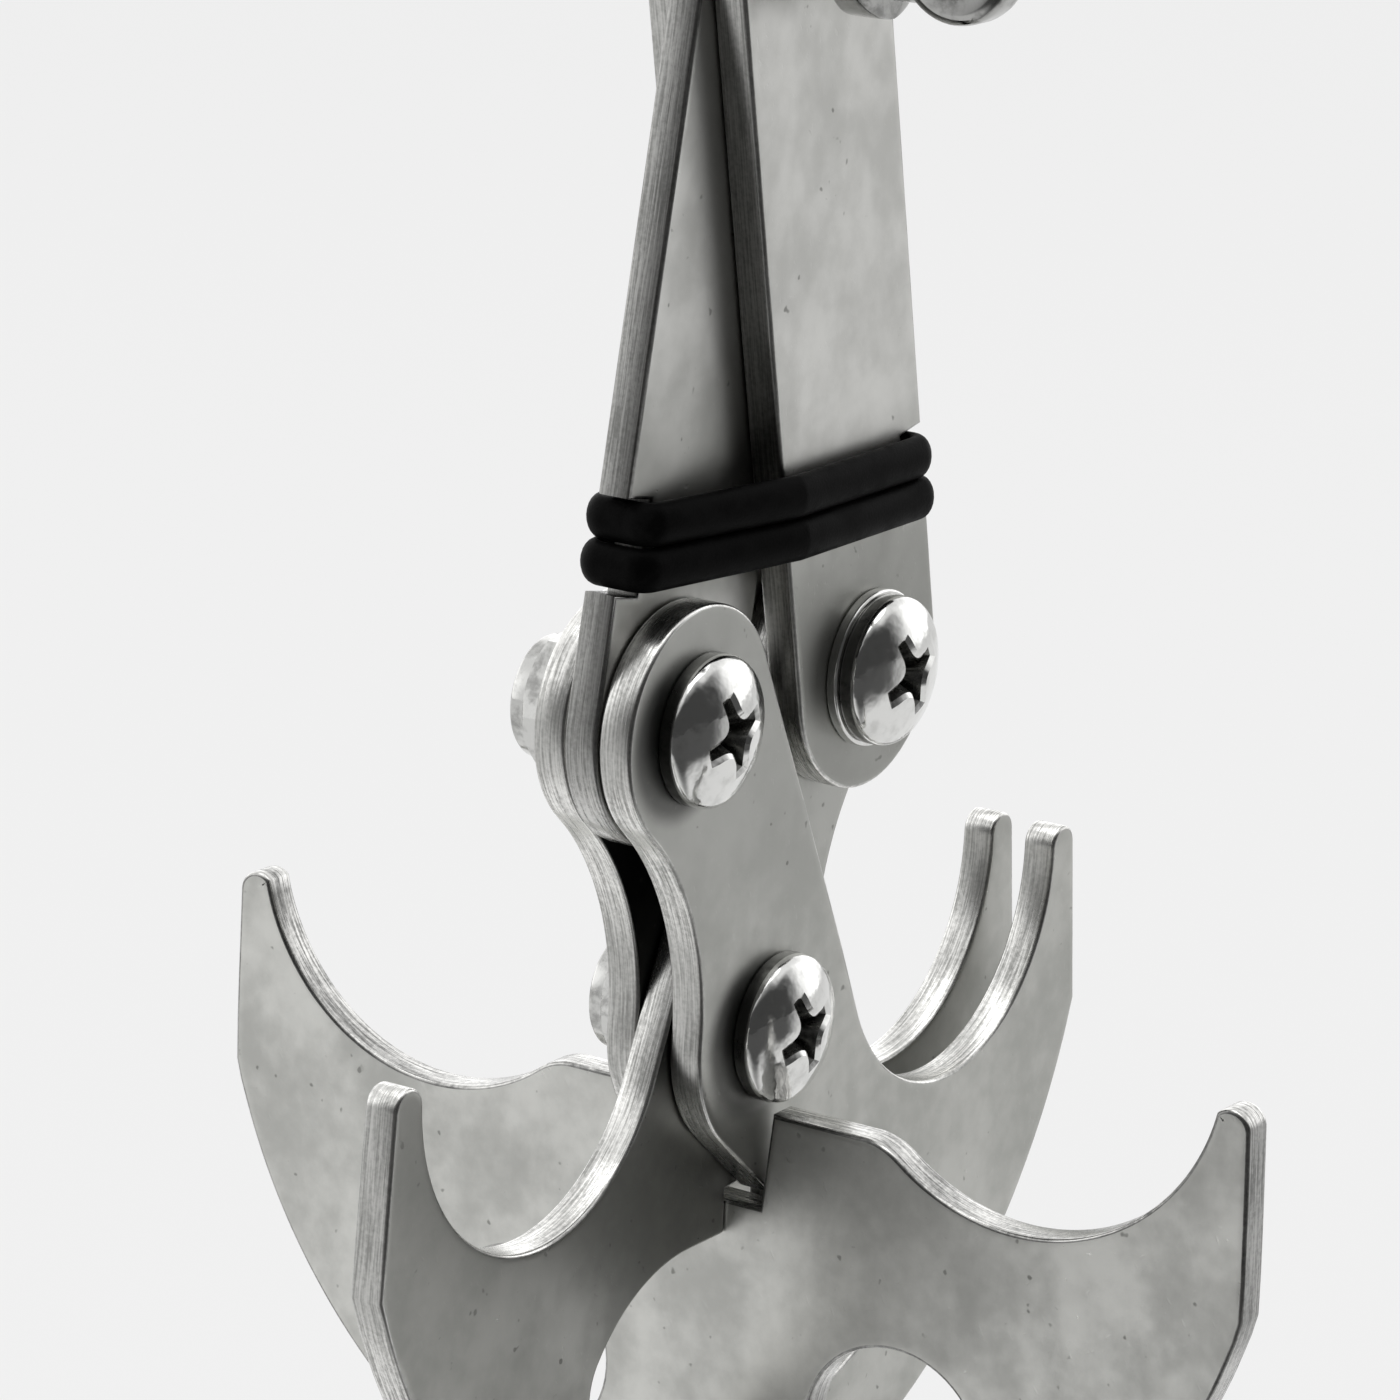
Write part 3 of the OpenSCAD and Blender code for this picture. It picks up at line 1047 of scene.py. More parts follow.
@dataclass
class Fasteners:
    """Pan-head pivot screws, lock nuts with nylon inserts, and the washer."""

    TURNS: ClassVar[Mapping[str, float]] = {"left": 19.0, "right": 26.0, "centre": 22.0}
    dome: float = 1.7 * MM
    shoulder: float = 1.1 * MM
    foot_round: float = 0.25 * MM
    flank_band: float = 0.2 * MM
    flank_share: float = 0.30
    recess_reach: float = 2.85 * MM
    recess_tip: float = 0.42 * MM
    recess_hollow: float = 0.85 * MM
    recess_depth: float = 2.1 * MM
    recess_floor: float = 0.42
    lobe_share: float = 0.6
    lobe_steps: int = 6
    lip_w: float = 0.5 * MM
    lip_over: float = 0.12 * MM
    lip_under: float = 0.28 * MM
    tool_rise: float = 1.5 * MM
    shank_gap: float = 0.05 * MM
    pitch: float = 1.0 * MM
    thread_turns: int = 2
    thread_length: float = 2.6 * MM
    thread_depth: float = 0.275 * MM
    root_shares: Span = (0.45, 0.55)
    end_chamfer: float = 0.45 * MM
    nut_chamfer_deg: float = 32.0
    nut_chamfer_rise: float = 0.15 * MM
    nut_face_in: float = 0.1 * MM
    collar_wall: float = 0.6 * MM
    bury: float = 0.4 * MM
    bore_under: float = 1.0 * MM
    bore_over: float = 0.1 * MM
    insert_round: float = 0.25 * MM
    washer_round: float = 0.2 * MM
    hex_sides: int = 6
    fine_steps: int = 96
    dome_steps: int = 22
    round_steps: int = 8
    foot_steps: int = 3
    corner_steps: int = 4
    crease_deg: float = 30.0

    def screw(self, node: str, seat_y: float, turn_deg: float) -> bpy.types.Object:
        """Builds a pivot screw along +Y from its head.

        Args:
            node: the screw's node.
            seat_y: where its head bears.
            turn_deg: turn of its recess, seen from the head.

        Returns:
            The screw's object.
        """
        low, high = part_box(node)
        middle = (low + high) / 2
        head_r = (high.x - low.x) / 2
        head_h = seat_y - low.y
        shank_r = self.shank_radius(node)
        at = frame_along((middle.x, seat_y, middle.z), (0, -1, 0))
        bm = bmesh.new()
        profile = self._screw_profile(head_r, head_h, shank_r, high.y - seat_y)
        turned(bm, profile, at, steps=self.fine_steps)
        for face in bm.faces:
            centre = face.calc_center_median()
            away = math.hypot(centre.x - middle.x, centre.z - middle.z)
            low_down = seat_y - centre.y < self.flank_share * head_h
            if low_down and away > head_r - self.flank_band:
                face.material_index = HeadZone.FLANK.value
        piece = as_object(f"{node}_turned", bm, self.crease_deg)
        carve(piece, self._recess(at, head_r, head_h, turn_deg), Cut.AWAY, self.crease_deg)
        return piece

    @staticmethod
    def shank_radius(node: str) -> float:
        """Radius of a screw's shank, from the insert that it passes through.

        Args:
            node: the screw's node.

        Returns:
            The radius.
        """
        insert = node.replace("pivot_screw", "nut_insert")
        low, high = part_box(insert)
        mesh = bpy.data.objects[insert].data
        middle = (low + high) / 2
        return min(math.hypot(v.co.x - middle.x, v.co.z - middle.z) for v in mesh.vertices)

    def _screw_profile(self, head_r: float, head_h: float, shank_r: float, length: float) -> list[Span]:
        """Profile from the crown of the head down to the thread's end.

        Args:
            head_r: the head's radius.
            head_h: the head's height.
            shank_r: radius of the hole that the shank fills.
            length: the shank's length.

        Returns:
            The profile's (radius, height) points, from the head's seat.
        """
        dome_r = self._dome_radius(head_r)
        middle = head_h - dome_r
        inner = head_r - self.shoulder
        rise = math.sqrt((dome_r - self.shoulder) ** 2 - inner**2)
        tangent = math.degrees(math.atan2(rise, inner))
        crown = round_corner((0, middle), dome_r, 90, tangent, self.dome_steps)
        crown[0] = (0.0, head_h)
        side = round_corner((inner, middle + rise), self.shoulder, tangent, 0, self.round_steps)[1:]
        f = self.foot_round
        foot = round_corner((head_r - f, f), f, 0, -90, self.foot_steps)
        shank = shank_r - self.shank_gap
        root = shank - self.thread_depth
        start = self.thread_length - length
        thread = [(shank, 0.0), (shank, start)]
        for k in range(self.thread_turns):
            top = start - k * self.pitch
            thread += [(root, top - share * self.pitch) for share in self.root_shares]
            thread.append((shank, top - self.pitch))
        c = self.end_chamfer
        thread += [(shank, c - length), (shank - c, -length), (0.0, -length)]
        return crown + side + foot + thread

    def _dome_radius(self, head_r: float) -> float:
        """Radius of the sphere that a head's dome is part of."""
        return (head_r**2 + self.dome**2) / (2 * self.dome)

    def _star(self, turn_deg: float) -> np.ndarray:
        """Outline of a recess: four arms with round lobes between them.

        Args:
            turn_deg: turn of the first arm.

        Returns:
            The outline's points, anticlockwise.
        """
        star = []
        for k in range(4):
            arm = math.radians(90 * k + turn_deg)
            along = np.array((math.cos(arm), math.sin(arm)))
            across = np.array((-math.sin(arm), math.cos(arm)))
            star.append(along * self.recess_reach - across * self.recess_tip)
            first = along * self.recess_reach + across * self.recess_tip
            last = along * self.recess_tip + across * self.recess_reach
            hollow = (along + across) * self.recess_hollow * math.sqrt(0.5)
            star.append(first)
            first, last = (hollow + (end - hollow) * self.lobe_share for end in (first, last))
            for step in range(self.lobe_steps + 1):
                t = step / self.lobe_steps
                star.append((1 - t) ** 2 * first + 2 * t * (1 - t) * hollow + t**2 * last)
        return np.array(star)

    def _recess(self, at: Matrix, head_r: float, head_h: float, turn_deg: float) -> bpy.types.Object:
        """Four-armed cutter for a head's recess, with a bevelled lip that follows the dome.

        Args:
            at: frame of the head's seat.
            head_r: the head's radius.
            head_h: the head's height.
            turn_deg: turn of the recess.

        Returns:
            The cutter's object.
        """
        star = self._star(turn_deg)
        wide = star + Plates.outward(star) * self.lip_w
        dome_r = self._dome_radius(head_r)
        rows = []
        for loop, rise in ((wide, self.lip_over), (star, -self.lip_under)):
            heights = head_h - dome_r + np.sqrt(dome_r**2 - np.sum(loop**2, 1)) + rise
            rows.append([at @ Vector((*p, h)) for p, h in zip(loop, heights)])
        floor_h = head_h - self.recess_depth
        rows.append([at @ Vector((*p, floor_h)) for p in star * self.recess_floor])
        poles = [[at @ Vector((0, 0, h))] for h in (head_h + self.tool_rise, floor_h)]
        bm = bmesh.new()
        skin_rows(bm, [poles[0], *rows, poles[1]])
        for place, face in enumerate(bm.faces):
            lip = place < 2 * len(star)
            face.material_index = (HeadZone.BODY if lip else HeadZone.RECESS).value
        return as_object("recess_tool", bm)

    def nut(self, node: str) -> bpy.types.Object:
        """Builds a lock nut: chamfered hexagon and rolled collar.

        Args:
            node: the nut's node.

        Returns:
            The nut's object.
        """
        low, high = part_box(node)
        middle = (low + high) / 2
        insert_low, insert_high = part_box(node.replace("pivot_nut", "nut_insert"))
        hex_h = insert_low.y - low.y
        corner_r = max(high.x - low.x, high.z - low.z) / 2
        flat_r = corner_r * math.cos(math.pi / self.hex_sides)
        collar_r = (insert_high.x - insert_low.x) / 2 + self.collar_wall
        at = frame_along((middle.x, low.y, middle.z), (0, 1, 0))
        bore = self.shank_radius(node.replace("pivot_nut", "pivot_screw"))
        turn = 0.0 if high.x - low.x > high.z - low.z else math.pi / self.hex_sides
        piece = self._hexagon(f"{node}_turned", at, corner_r, hex_h, turn)
        bm = bmesh.new()
        slope = math.tan(math.radians(self.nut_chamfer_deg))
        cone = (corner_r - flat_r) * slope + self.nut_chamfer_rise
        barrel = [
            (0, 0),
            (flat_r - self.nut_face_in, 0),
            (corner_r, cone),
            (corner_r, hex_h - cone),
            (flat_r, hex_h),
            (0, hex_h),
        ]
        turned(bm, barrel, at, steps=self.fine_steps)
        carve(piece, as_object("nut_tool", bm), Cut.WITHIN)
        collar_h = high.y - low.y
        lip = self.collar_wall / 2
        bm = bmesh.new()
        collar = [
            (bore - self.bury, hex_h - 2 * self.bury),
            (collar_r, hex_h - 2 * self.bury),
            *round_corner((collar_r - lip, collar_h - lip), lip, 0, 180, self.round_steps),
            (collar_r - 2 * lip, hex_h - self.bury),
            (bore - self.bury, hex_h - self.bury),
        ]
        turned(bm, collar, at, ring=True)
        carve(piece, as_object("collar_tool", bm), Cut.JOIN)
        bm = bmesh.new()
        below, above = -self.bore_under, hex_h + self.bore_over
        turned(bm, [(0, below), (bore, below), (bore, above), (0, above)], at)
        carve(piece, as_object("bore_tool", bm), Cut.AWAY)
        return piece

    def _hexagon(
        self, name: str, at: Matrix, corner_r: float, height: float, turn: float
    ) -> bpy.types.Object:
        """Plain hexagonal prism on a frame, longer than the nut at both ends.

        Args:
            name: the piece's name.
            at: frame of the nut's seat.
            corner_r: radius at its corners.
            height: the hexagon's height.
            turn: turn of its first corner.

        Returns:
            The prism's object.
        """
        angles = [turn + math.tau * k / self.hex_sides for k in range(self.hex_sides)]
        ends = (-self.bury, height + self.bury)
        round_points = [(corner_r * math.cos(a), corner_r * math.sin(a)) for a in angles]
        rows = [[at @ Vector((x, y, h)) for x, y in round_points] for h in ends]
        poles = [[at @ Vector((0, 0, h))] for h in ends]
        bm = bmesh.new()
        skin_rows(bm, [poles[0], *rows, poles[1]])
        return as_object(name, bm)

    def ring(self, name: str, node: str, bore: float, soften: float) -> bpy.types.Object:
        """Builds a flat ring along Y with rounded corners, for the inserts and the washer.

        Args:
            name: the piece's name.
            node: the node that gives its place and size.
            bore: radius of its hole.
            soften: radius of its corners.

        Returns:
            The ring's object.
        """
        low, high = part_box(node)
        middle = (low + high) / 2
        outer = (high.x - low.x) / 2
        height = high.y - low.y
        corners = [
            ((outer - soften, soften), -90, 0),
            ((outer - soften, height - soften), 0, 90),
            ((bore + soften, height - soften), 90, 180),
            ((bore + soften, soften), 180, 270),
        ]
        arcs = [round_corner(centre, soften, a, b, self.corner_steps) for centre, a, b in corners]
        profile = [point for arc in arcs for point in arc]
        bm = bmesh.new()
        turned(bm, profile, frame_along((middle.x, low.y, middle.z), (0, 1, 0)), ring=True)
        return as_object(name, bm)

    def dress(
        self,
        bodies: Mapping[str, str],
        screw: bpy.types.Material,
        recess: bpy.types.Material,
        flank: bpy.types.Material,
        nut: bpy.types.Material,
        nylon: bpy.types.Material,
    ) -> None:
        """Builds and hands over every fastener.

        Args:
            bodies: body of each node.
            screw: finish of the screws and the washer.
            recess: dark finish inside the screws' recesses, painted shade.
            flank: dark finish round the foot of the screws' heads, painted shade.
            nut: finish of the nuts.
            nylon: finish of the inserts.
        """
        plates_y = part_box("right_jaw_front")[0].y
        washer_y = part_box("right_pivot_washer")[0].y
        for place, turn_deg in self.TURNS.items():
            node = f"{place}_pivot_screw"
            bore = self.shank_radius(node)
            piece = self.screw(node, washer_y if place == "right" else plates_y, turn_deg)
            hand_over(piece, node, bodies[node], Slot.SCREW, screw, recess, flank)
            node = f"{place}_pivot_nut"
            hand_over(self.nut(node), node, bodies[node], Slot.NUT, nut)
            node = f"{place}_nut_insert"
            piece = self.ring(f"{node}_moulded", node, bore, self.insert_round)
            hand_over(piece, node, bodies[node], Slot.NYLON, nylon)
        node = "right_pivot_washer"
        bore = self.shank_radius("right_pivot_screw")
        piece = self.ring(f"{node}_pressed", node, bore, self.washer_round)
        hand_over(piece, node, bodies[node], Slot.SCREW, screw)


# Shackle


@dataclass
class Shackle:
    """Forged bow with flattened ears, and the eye-headed screw pin."""

    pivot: Vector
    ear_r: float = 5.0 * MM
    ear_t: float = 3.2 * MM
    bar_r: float = 2.5 * MM
    pin_gap: float = 0.05 * MM
    eye_hole: float = 1.9 * MM
    eye_t: float = 3.2 * MM
    collar_r: float = 3.6 * MM
    collar_l: float = 2.6 * MM
    fillet: float = 0.5 * MM
    neck_r: Span = (2.0 * MM, 1.8 * MM)
    neck_rise: float = 0.4 * MM
    neck_sunk: float = 0.5
    eye_round: float = 0.9 * MM
    foot_deg: float = 6.0
    foot_steps: int = 14
    shoulder: float = 1.5
    shoulder_steps: int = 12
    leg_steps: int = 4
    crown_steps: int = 24
    settle_from: float = 0.35
    ear_square: float = 5.0
    bar_square: float = 2.0
    around: int = 40
    drill_steps: int = 64
    fillet_steps: int = 4
    fillet_end_deg: float = 80.0
    eye_steps: int = 5
    crease_deg: float = 45.0

    def _section(
        self, centre: Vector, side: Vector, half_w: float, half_t: float, square: float
    ) -> list[Vector]:
        """Superellipse ring: X by the side direction.

        Args:
            centre: the ring's centre.
            side: direction of its thickness.
            half_w: half its width along X.
            half_t: half its thickness.
            square: power of the superellipse; 2 is round.

        Returns:
            The ring's points.
        """
        ring = []
        for k in range(self.around):
            a = math.tau * k / self.around
            c, s = math.cos(a), math.sin(a)
            x = math.copysign(abs(c) ** (2 / square), c) * half_w
            t = math.copysign(abs(s) ** (2 / square), s) * half_t
            ring.append(centre + Vector((x, 0, 0)) + side * t)
        return ring

    def _leg(self, leg_y: float, crown_z: float) -> list[list[Vector]]:
        """Sections of one leg from the ear's foot up to the crown's start.

        Args:
            leg_y: the leg's place along Y.
            crown_z: height of the crown's start above the pivot.

        Returns:
            The sections' rings.
        """
        rings = []
        outward = Vector((0, math.copysign(1, leg_y), 0))
        sweep = (90 - self.foot_deg) / self.foot_steps
        angles = [math.radians(self.foot_deg + sweep * k) for k in range(self.foot_steps + 1)]
        heights = [-self.ear_r * math.cos(a) for a in angles]
        top = self.shoulder * self.ear_r
        heights += [top * (k + 1) / self.shoulder_steps for k in range(self.shoulder_steps)]
        heights += [top + (crown_z - top) * (k + 1) / self.leg_steps for k in range(self.leg_steps)]
        for z in heights:
            disc = math.sqrt(max(self.ear_r**2 - z * z, 0.0)) if z < self.ear_r else 0.0
            bar = self.bar_r if z > 0 else 0.0
            half_w = (disc**4 + bar**4) ** 0.25
            settle = min(1.0, max(0.0, z / self.ear_r - self.settle_from))
            settle = settle * settle * (3 - 2 * settle)
            half_t = self.ear_t / 2 + (self.bar_r - self.ear_t / 2) * settle
            half_w += (self.bar_r - half_w) * settle
            centre = self.pivot + Vector((0, leg_y, z))
            square = self.ear_square + (self.bar_square - self.ear_square) * settle
            rings.append(self._section(centre, outward, half_w, half_t, square))
        return rings

    def bow(self) -> bpy.types.Object:
        """Builds the bow with its drilled ears.

        Returns:
            The bow's object.
        """
        low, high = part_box("shackle_bow")
        leg_y = (high.y - low.y) / 2 - self.ear_t / 2
        crown_z = high.z - self.pivot.z - leg_y - self.bar_r
        right = self._leg(leg_y, crown_z)
        left = self._leg(-leg_y, crown_z)
        crown = []
        for k in range(1, self.crown_steps):
            a = math.pi * k / self.crown_steps
            out = Vector((0, math.cos(a), math.sin(a)))
            centre = self.pivot + Vector((0, 0, crown_z)) + out * leg_y
            crown.append(self._section(centre, out, self.bar_r, self.bar_r, self.bar_square))
        rows = right + crown + left[::-1]
        ends = [[sum(ring, Vector()) / len(ring)] for ring in (rows[0], rows[-1])]
        bm = bmesh.new()
        skin_rows(bm, [ends[0], *rows, ends[1]])
        piece = as_object("shackle_bow_forged", bm, self.crease_deg)
        bm = bmesh.new()
        reach = leg_y + self.ear_t
        hole = self.bar_r + self.pin_gap
        drill = [(0, -reach), (hole, -reach), (hole, reach), (0, reach)]
        turned(bm, drill, frame_along(self.pivot, (0, 1, 0)), steps=self.drill_steps)
        carve(piece, as_object("ear_tool", bm), Cut.AWAY, self.crease_deg)
        return piece

    def pin(self) -> bpy.types.Object:
        """Builds the screw pin: shaft, collar, neck and eye.

        Returns:
            The pin's object.
        """
        low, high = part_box("shackle_pin")
        eye_r = (high.z - low.z) / 2
        eye_y = low.y + eye_r
        ear_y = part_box("shackle_bow")[0].y
        at = frame_along((self.pivot.x, ear_y, self.pivot.z), (0, -1, 0))
        shaft = -(high.y - ear_y)
        neck = ear_y - eye_y - self.neck_sunk * eye_r
        f = self.fillet
        profile = [
            (0, shaft),
            (self.bar_r - f, shaft),
            (self.bar_r, shaft + f),
            (self.bar_r, 0),
            *round_corner((self.collar_r - f, f), f, -90, 0, self.fillet_steps),
            *round_corner(
                (self.collar_r - f, self.collar_l - f), f, 0, self.fillet_end_deg, self.fillet_steps
            ),
            (self.neck_r[0], self.collar_l + self.neck_rise),
            (self.neck_r[1], neck),
            (0, neck),
        ]
        bm = bmesh.new()
        turned(bm, profile, at)
        piece = as_object("shackle_pin_turned", bm)
        half_t = self.eye_t / 2
        soft = self.eye_round
        corners = [
            ((eye_r - soft, half_t - soft), 0, 90),
            ((self.eye_hole + soft, half_t - soft), 90, 180),
            ((self.eye_hole + soft, soft - half_t), 180, 270),
            ((eye_r - soft, soft - half_t), 270, 360),
        ]
        arcs = [round_corner(centre, soft, a, b, self.eye_steps) for centre, a, b in corners]
        profile = [point for arc in arcs for point in arc]
        bm = bmesh.new()
        turned(bm, profile, frame_along((self.pivot.x, eye_y, self.pivot.z), (1, 0, 0)), ring=True)
        carve(piece, as_object("eye_tool", bm), Cut.JOIN, self.crease_deg)
        return piece

    def dress(self, bodies: Mapping[str, str], steel: bpy.types.Material) -> None:
        """Builds and hands over bow and pin.

        Args:
            bodies: body of each node.
            steel: their finish.
        """
        for node, piece in (("shackle_bow", self.bow()), ("shackle_pin", self.pin())):
            hand_over(piece, node, bodies[node], Slot.SHACKLE, steel)


# Rubber rings


@dataclass
class RubberRings:
    """Two rubber rings in the arms' notches, which stretch between the arms."""

    NODES: ClassVar[tuple[str, str]] = ("upper_rubber_ring", "lower_rubber_ring")
    top: Vector
    foot: Vector
    frame_reach: float = 2.95 * MM
    half_h: float = 1.59 * MM
    half_t: float = 1.05 * MM
    part: float = 0.12 * MM
    touch: float = 0.02 * MM
    bend_steps: int = 10
    span_steps: int = 14
    around: int = 24
    right_hold: float = 0.55
    left_hold: float = 0.75
    crease_deg: float = 80.0

    def _inner_x(self, z: float) -> float:
        """Inner edge of the right arm at a height.

        Args:
            z: the height.

        Returns:
            The edge's X.
        """
        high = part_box("right_arm_front")[1]
        tilt = math.atan2(self.foot.x, self.top.z - self.foot.z)
        middle = self.foot.x * (self.top.z - z) / (self.top.z - self.foot.z)
        return middle - (high.x - self.foot.x) / math.cos(tilt)

    def _bends(self, node: str) -> list[tuple[float, float, float, float]]:
        """Plate corners (x, y, first angle, last angle) that a ring bends round.

        Args:
            node: the ring's node.

        Returns:
            The corners, anticlockwise from above.
        """
        low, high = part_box(node)
        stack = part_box("right_arm_rear")[1].y
        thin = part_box("left_arm")[1].y
        right = high.x - self.frame_reach
        left = low.x + self.frame_reach
        inner = self._inner_x((low.z + high.z) / 2)
        lean = math.degrees(math.atan2(stack - thin, inner - left))
        return [
            (right, stack, 0, 90),
            (inner, stack, 90, 90 + lean),
            (left, thin, 90 + lean, 180),
            (left, -thin, 180, 270 - lean),
            (inner, -stack, 270 - lean, 270),
            (right, -stack, 270, 360),
        ]

    def _spine(self, node: str) -> list[tuple[float, float, float]]:
        """Points (x, y, heading) of a ring's middle line, seen from above.

        Args:
            node: the ring's node.

        Returns:
            The points, in order.
        """
        reach = self.half_t + self.touch
        corners = []
        for x, y, start, end in self._bends(node):
            for k in range(self.bend_steps + 1):
                a = math.radians(start + (end - start) * k / self.bend_steps)
                corners.append((x + reach * math.cos(a), y + reach * math.sin(a), a))
        spine = []
        for here, ahead in zip(corners, corners[1:] + corners[:1]):
            gap = math.hypot(ahead[0] - here[0], ahead[1] - here[1])
            steps = self.span_steps if gap > 2 * reach else 1
            for k in range(steps):
                x, y = (a + (b - a) * k / steps for a, b in zip(here[:2], ahead[:2]))
                spine.append((x, y, here[2]))
        return spine

    def build(self, node: str) -> bpy.types.Object:
        """Builds one ring.

        Args:
            node: the ring's node.

        Returns:
            The ring's object.
        """
        low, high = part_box(node)
        apart = self.part if node == self.NODES[0] else -self.part
        middle = (low.z + high.z) / 2 + apart
        rows = []
        for x, y, heading in self._spine(node):
            ring = []
            for k in range(self.around):
                a = math.tau * k / self.around
                out = self.half_t * math.cos(a)
                z = middle + self.half_h * math.sin(a)
                ring.append(Vector((x + out * math.cos(heading), y + out * math.sin(heading), z)))
            rows.append(ring)
        bm = bmesh.new()
        skin_rows(bm, rows, closed=True)
        return as_object(f"{node}_cord", bm, self.crease_deg)

    def dress(self, rubber: bpy.types.Material) -> None:
        """Builds both rings and bends them between the arms.

        Args:
            rubber: their finish.
        """
        for node in self.NODES:
            piece = self.build(node)
            piece.data.materials.append(rubber)
            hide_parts(node)
            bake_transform(piece)
            LOG.info("%s bends between the arms", piece.name)


# Stage


@dataclass
class Studio:
    """Pale floor, overhead soft box, a dark side of the room and the camera."""

    lowest: float
    drop: float = 34 * MM
    backdrop: Colour = (0.872, 0.872, 0.872)
    dark: Colour = (0.07, 0.07, 0.07)
    wall: float = 1.6
    ceiling: float = 0.95
    gloom: float = 0.06
    dark_side: Point = (-0.669, -0.743, 0.0)
    wall_span: Span = (-0.20, 0.36)
    lean_span: Span = (0.35, 0.95)
    lean: float = 0.4
    ceiling_span: Span = (0.30, 0.75)
    floor_half: float = 4.0
    floor_rough: float = 0.9
    floor_glow: float = 0.85
    pool: float = 0.38
    pool_share: float = 0.7
    dim_span: Span = (0.82, 1.18)
    lamp_at: Point = (0.05, 0.10, 0.80)
    lamp_aim: Point = (0.0, 0.0, -0.08)
    lamp_size: Span = (0.8, 0.8)
    lamp_watts: float = 2.5
    eye: Point = (-0.3513, -0.2290, 0.0416)
    right: Point = (0.5591, -0.8285, 0.0328)
    up: Point = (0.2065, 0.1774, 0.9622)
    focal_px: float = 6000.0
    frame_px: float = 1400.0
    sensor_mm: float = 36.0
    clip: Span = (0.01, 50.0)

    def camera(self) -> None:
        """Sets the camera at the photograph's view."""
        data = bpy.data.cameras.new("photo_view")
        data.sensor_width = self.sensor_mm
        data.lens = self.focal_px / self.frame_px * self.sensor_mm
        data.clip_start, data.clip_end = self.clip
        camera = bpy.data.objects.new("photo_view", data)
        right, up = Vector(self.right).normalized(), Vector(self.up).normalized()
        back = right.cross(up).normalized()
        up = back.cross(right)
        turn = Matrix((right, up, back)).transposed().to_4x4()
        camera.matrix_world = Matrix.Translation(Vector(self.eye)) @ turn
        bpy.context.scene.collection.objects.link(camera)
        bpy.context.scene.camera = camera

    def _facing(self, paint: Paint, point: object) -> Wire:
        """How squarely a point or direction lies on the room's dark side, from -1 to 1."""
        level = paint.vector("MULTIPLY", point, [1.0, 1.0, 0.0])
        return paint.vector("DOT_PRODUCT", paint.vector("NORMALIZE", level), list(self.dark_side))

    def floor(self) -> None:
        """Lays the floor, pale to the camera and still taking the shadow."""
        bm = bmesh.new()
        half = self.floor_half
        corners = [(-half, -half), (half, -half), (half, half), (-half, half)]
        bm.faces.new([bm.verts.new((x, y, 0.0)) for x, y in corners])
        floor = as_object("floor", bm)
        floor.location.z = self.lowest - self.drop
        paint = Paint("pale_floor")
        path = paint.node("ShaderNodeLightPath")
        point = paint.place()
        away = paint.vector("LENGTH", point).step(0.0, self.pool)
        dim = (self._facing(paint, point) + away * self.pool_share).step(*self.dim_span)
        mirrored = Wire(paint, path.outputs["Is Glossy Ray"]) * dim
        paint.set(
            Base_Color=paint.blend(mirrored, self.backdrop, self.dark),
            Roughness=self.floor_rough,
        )
        glow = paint.node("ShaderNodeEmission", None, {"Color": self.backdrop, "Strength": 1.0})
        seen = Wire(paint, path.outputs["Is Camera Ray"])
        share = seen * self.floor_glow
        ends = {0: share, 1: paint.shader.outputs[0], 2: glow.outputs[0]}
        mix = paint.node("ShaderNodeMixShader", None, ends)
        paint.feed(paint.output.inputs["Surface"], mix.outputs[0])
        floor.data.materials.append(paint.material)
        floor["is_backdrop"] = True

    def lamp(self) -> None:
        """Hangs the soft box overhead."""
        data = bpy.data.lights.new("overhead_box", "AREA")
        data.shape = "RECTANGLE"
        data.size, data.size_y = self.lamp_size
        data.energy = self.lamp_watts
        lamp = bpy.data.objects.new("overhead_box", data)
        at = Vector(self.lamp_at)
        turn = (Vector(self.lamp_aim) - at).to_track_quat("-Z", "Y").to_matrix().to_4x4()
        lamp.matrix_world = Matrix.Translation(at) @ turn
        bpy.context.scene.collection.objects.link(lamp)

    def room(self) -> None:
        """Fills the room with light: bright above and behind, dark on one side."""
        world = bpy.data.worlds.new("studio")
        paint = Paint("room", world)
        point = Wire(paint, paint.node("ShaderNodeTexCoord").outputs["Generated"])
        height = paint.part(point, "Z")
        facing = self._facing(paint, point)
        low = self.wall - facing.step(*self.wall_span) * (self.wall - self.gloom)
        above = (height - facing.step(*self.lean_span) * self.lean).step(*self.ceiling_span)
        room = low + above * (self.ceiling - low)
        path = paint.node("ShaderNodeLightPath")
        shown = paint.blend(Wire(paint, path.outputs["Is Camera Ray"]), room, self.backdrop)
        paint.feed(paint.shader.inputs["Color"], shown)
        bpy.context.scene.world = world
        bpy.context.scene.view_settings.view_transform = "Standard"

    def set_up(self) -> None:
        """Sets camera, floor, lamp and room."""
        self.camera()
        self.floor()
        self.lamp()
        self.room()


def joint_point(frame: Mapping[str, object], name: str) -> Vector:
    """Pivot of a named joint of the frame."""
    return Vector(next(j["pos_m"] for j in frame["joints"] if j["name"] == name))


def node_bodies(frame: Mapping[str, object]) -> dict[str, str]:
    """Body of each node of the frame."""
    groups = frame["record"]["behaviour"]["bodies"]
    return {node: body for body, nodes in groups.items() for node in nodes}


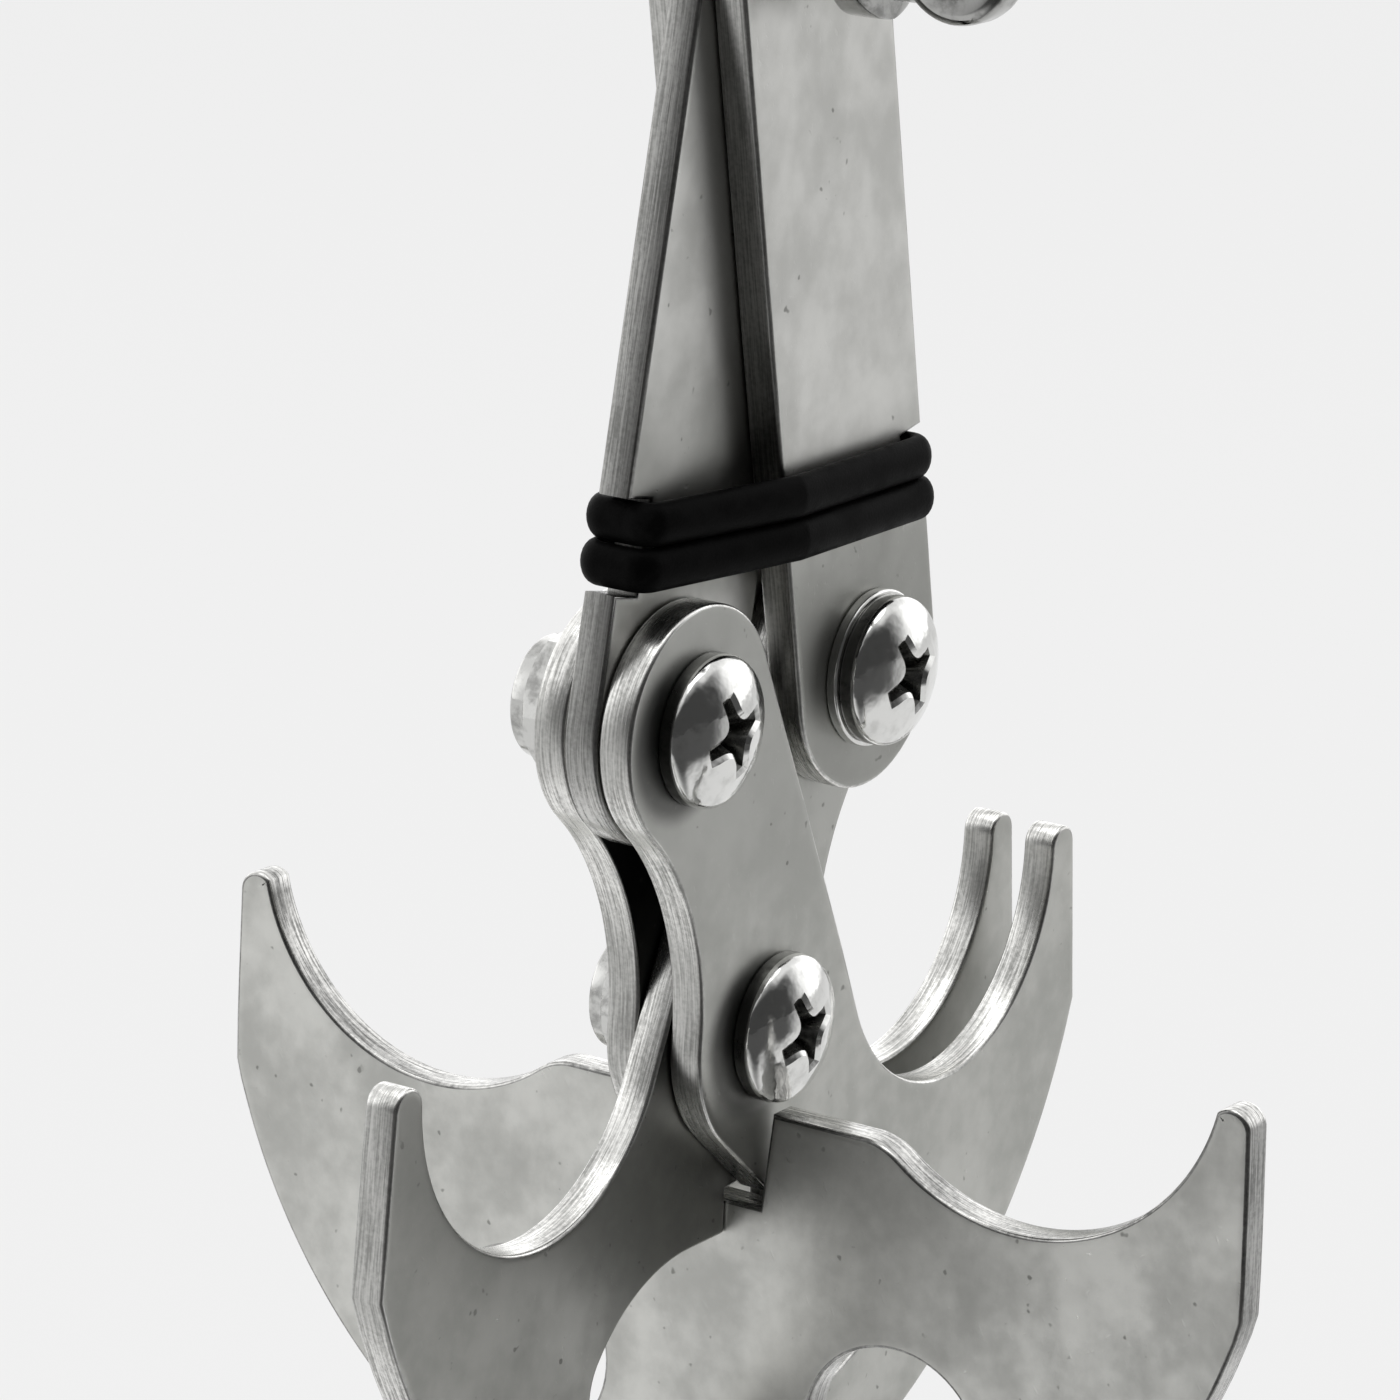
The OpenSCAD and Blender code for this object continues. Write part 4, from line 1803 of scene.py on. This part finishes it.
def dress_plates(plates: Plates, bodies: Mapping[str, str]) -> None:
    """Dresses arms, jaws and cross claw in satin steel.

    Args:
        plates: the plates.
        bodies: body of each node.
    """
    edge = CutEdge("cut_edge", Axis.Y).make()
    # Painted shadow of the rubber rings: the right arm is darker below z = -52 mm.
    right_arm = SatinPlate("satin_arm", fade=(-68 * MM, -52 * MM))
    plates.dress(bodies, Plates.RIGHT_ARM, right_arm.make(), edge)
    # Painted shadow of the rubber rings and the right arm: the left arm is darker from z = -42 mm down
    # to the rings.
    left_arm = SatinPlate("satin_left_arm", fade=(-62 * MM, -42 * MM), clear=(-68 * MM, -65 * MM))
    # The left arm's edge is a darker copy of the cut edge: painted shade.
    shaded_left_edge = CutEdge("cut_left_edge_shaded", Axis.Y, shade=(0.20, 0.20, 0.192), bright=(0.62, 0.616, 0.60))
    plates.dress(bodies, Plates.LEFT_ARM, left_arm.make(), shaded_left_edge.make())
    # Painted shade in the gap between the jaw plates.
    gap_shade = ShadePatch(
        at=(-10 * MM, 0.0, -90 * MM),
        reach=(9 * MM, 16 * MM),
        share=0.92,
        depth=(1.6 * MM, 2.6 * MM),
    )
    # Painted shadows cast to the left of the left and centre heads.
    left_head_shadow = ShadePatch(at=(-13.6 * MM, 0.0, -75.2 * MM), reach=(5.0 * MM, 6.8 * MM), share=0.72)
    centre_head_shadow = replace(left_head_shadow, at=(-2.6 * MM, 0.0, -100.2 * MM))
    # The jaws' steel is darker than the arms': partly their own darker tint, partly painted shade; fade
    # and clear add painted shade above z = -78 mm.
    right_jaw = SatinPlate(
        "satin_jaw",
        dull=(0.42, 0.423, 0.40),
        clean=(0.51, 0.51, 0.485),
        shade_tone=(0.39, 0.392, 0.373),
        fade=(0.0, 0.1),
        clear=(-100 * MM, -78 * MM),
        shade_patches=(gap_shade, left_head_shadow, centre_head_shadow),
    )
    plates.dress(bodies, Plates.RIGHT_JAW, right_jaw.make(), edge)
    # Painted shade on the left jaw where the cross claw and the right jaw shade it.
    jaw_corner_shade = ShadePatch(at=(-6.3 * MM, 0.0, -110.9 * MM), reach=(10 * MM, 30 * MM), share=0.25)
    left_jaw = replace(right_jaw, name="satin_left_jaw", shade_patches=(*right_jaw.shade_patches, jaw_corner_shade))
    plates.dress(bodies, Plates.LEFT_JAW, left_jaw.make(), edge)
    cross = SatinPlate("satin_cross", dull=(0.52, 0.522, 0.498), clean=(0.70, 0.70, 0.67))
    # The cross claw's cut edge is a darker copy of the cut edge: painted shade.
    cross_edge = CutEdge(
        "cut_cross_edge", Axis.X, shade=(0.17, 0.17, 0.165), bright=(0.74, 0.735, 0.715)
    )
    plates.dress(bodies, Plates.CROSS, cross.make(), cross_edge.make(), Axis.X, Slot.CROSS)


def dress_fasteners(bodies: Mapping[str, str]) -> None:
    """Dresses screws, nuts, inserts and washer.

    Args:
        bodies: body of each node.
    """
    Fasteners().dress(
        bodies,
        screw=Polished("polished_screw", dent_size=1.3 * MM, dent_depth=0.045 * MM).make(),
        # Painted shade: the recesses are dark.
        recess=Polished("shaded_recess", (0.20, 0.20, 0.19), (0.03, 0.03, 0.03), (0.25, 0.6)).make(),
        # Painted shade: the flank at the foot of each head is dark.
        flank=Polished("shaded_flank", (0.30, 0.30, 0.29), (0.12, 0.12, 0.115), (0.14, 0.3)).make(),
        nut=Polished("bright_nut", (0.62, 0.62, 0.605), (0.34, 0.34, 0.33), (0.10, 0.26)).make(),
        nylon=Nylon("milky_nylon").make(),
    )


def main() -> None:
    """Loads the frame and dresses every sub-assembly."""
    logging.basicConfig(level=logging.INFO, format="%(name)s: %(message)s")
    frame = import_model()
    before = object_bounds()
    bodies = node_bodies(frame)
    top = joint_point(frame, "shackle_swing")
    Studio(before[0].z).set_up()
    dress_plates(Plates(frame["nodes"]), bodies)
    dress_fasteners(bodies)
    # The shackle's steel is darker than the screws': painted shade for the dark room it reflects.
    steel = Polished("polished_shackle", (0.42, 0.42, 0.41), (0.24, 0.24, 0.233), dent_size=2.6 * MM)
    Shackle(top).dress(bodies, steel.make())
    RubberRings(top, joint_point(frame, "left_jaw_turn")).dress(Rubber("black_rubber").make())


if __name__ == "__main__":
    main()
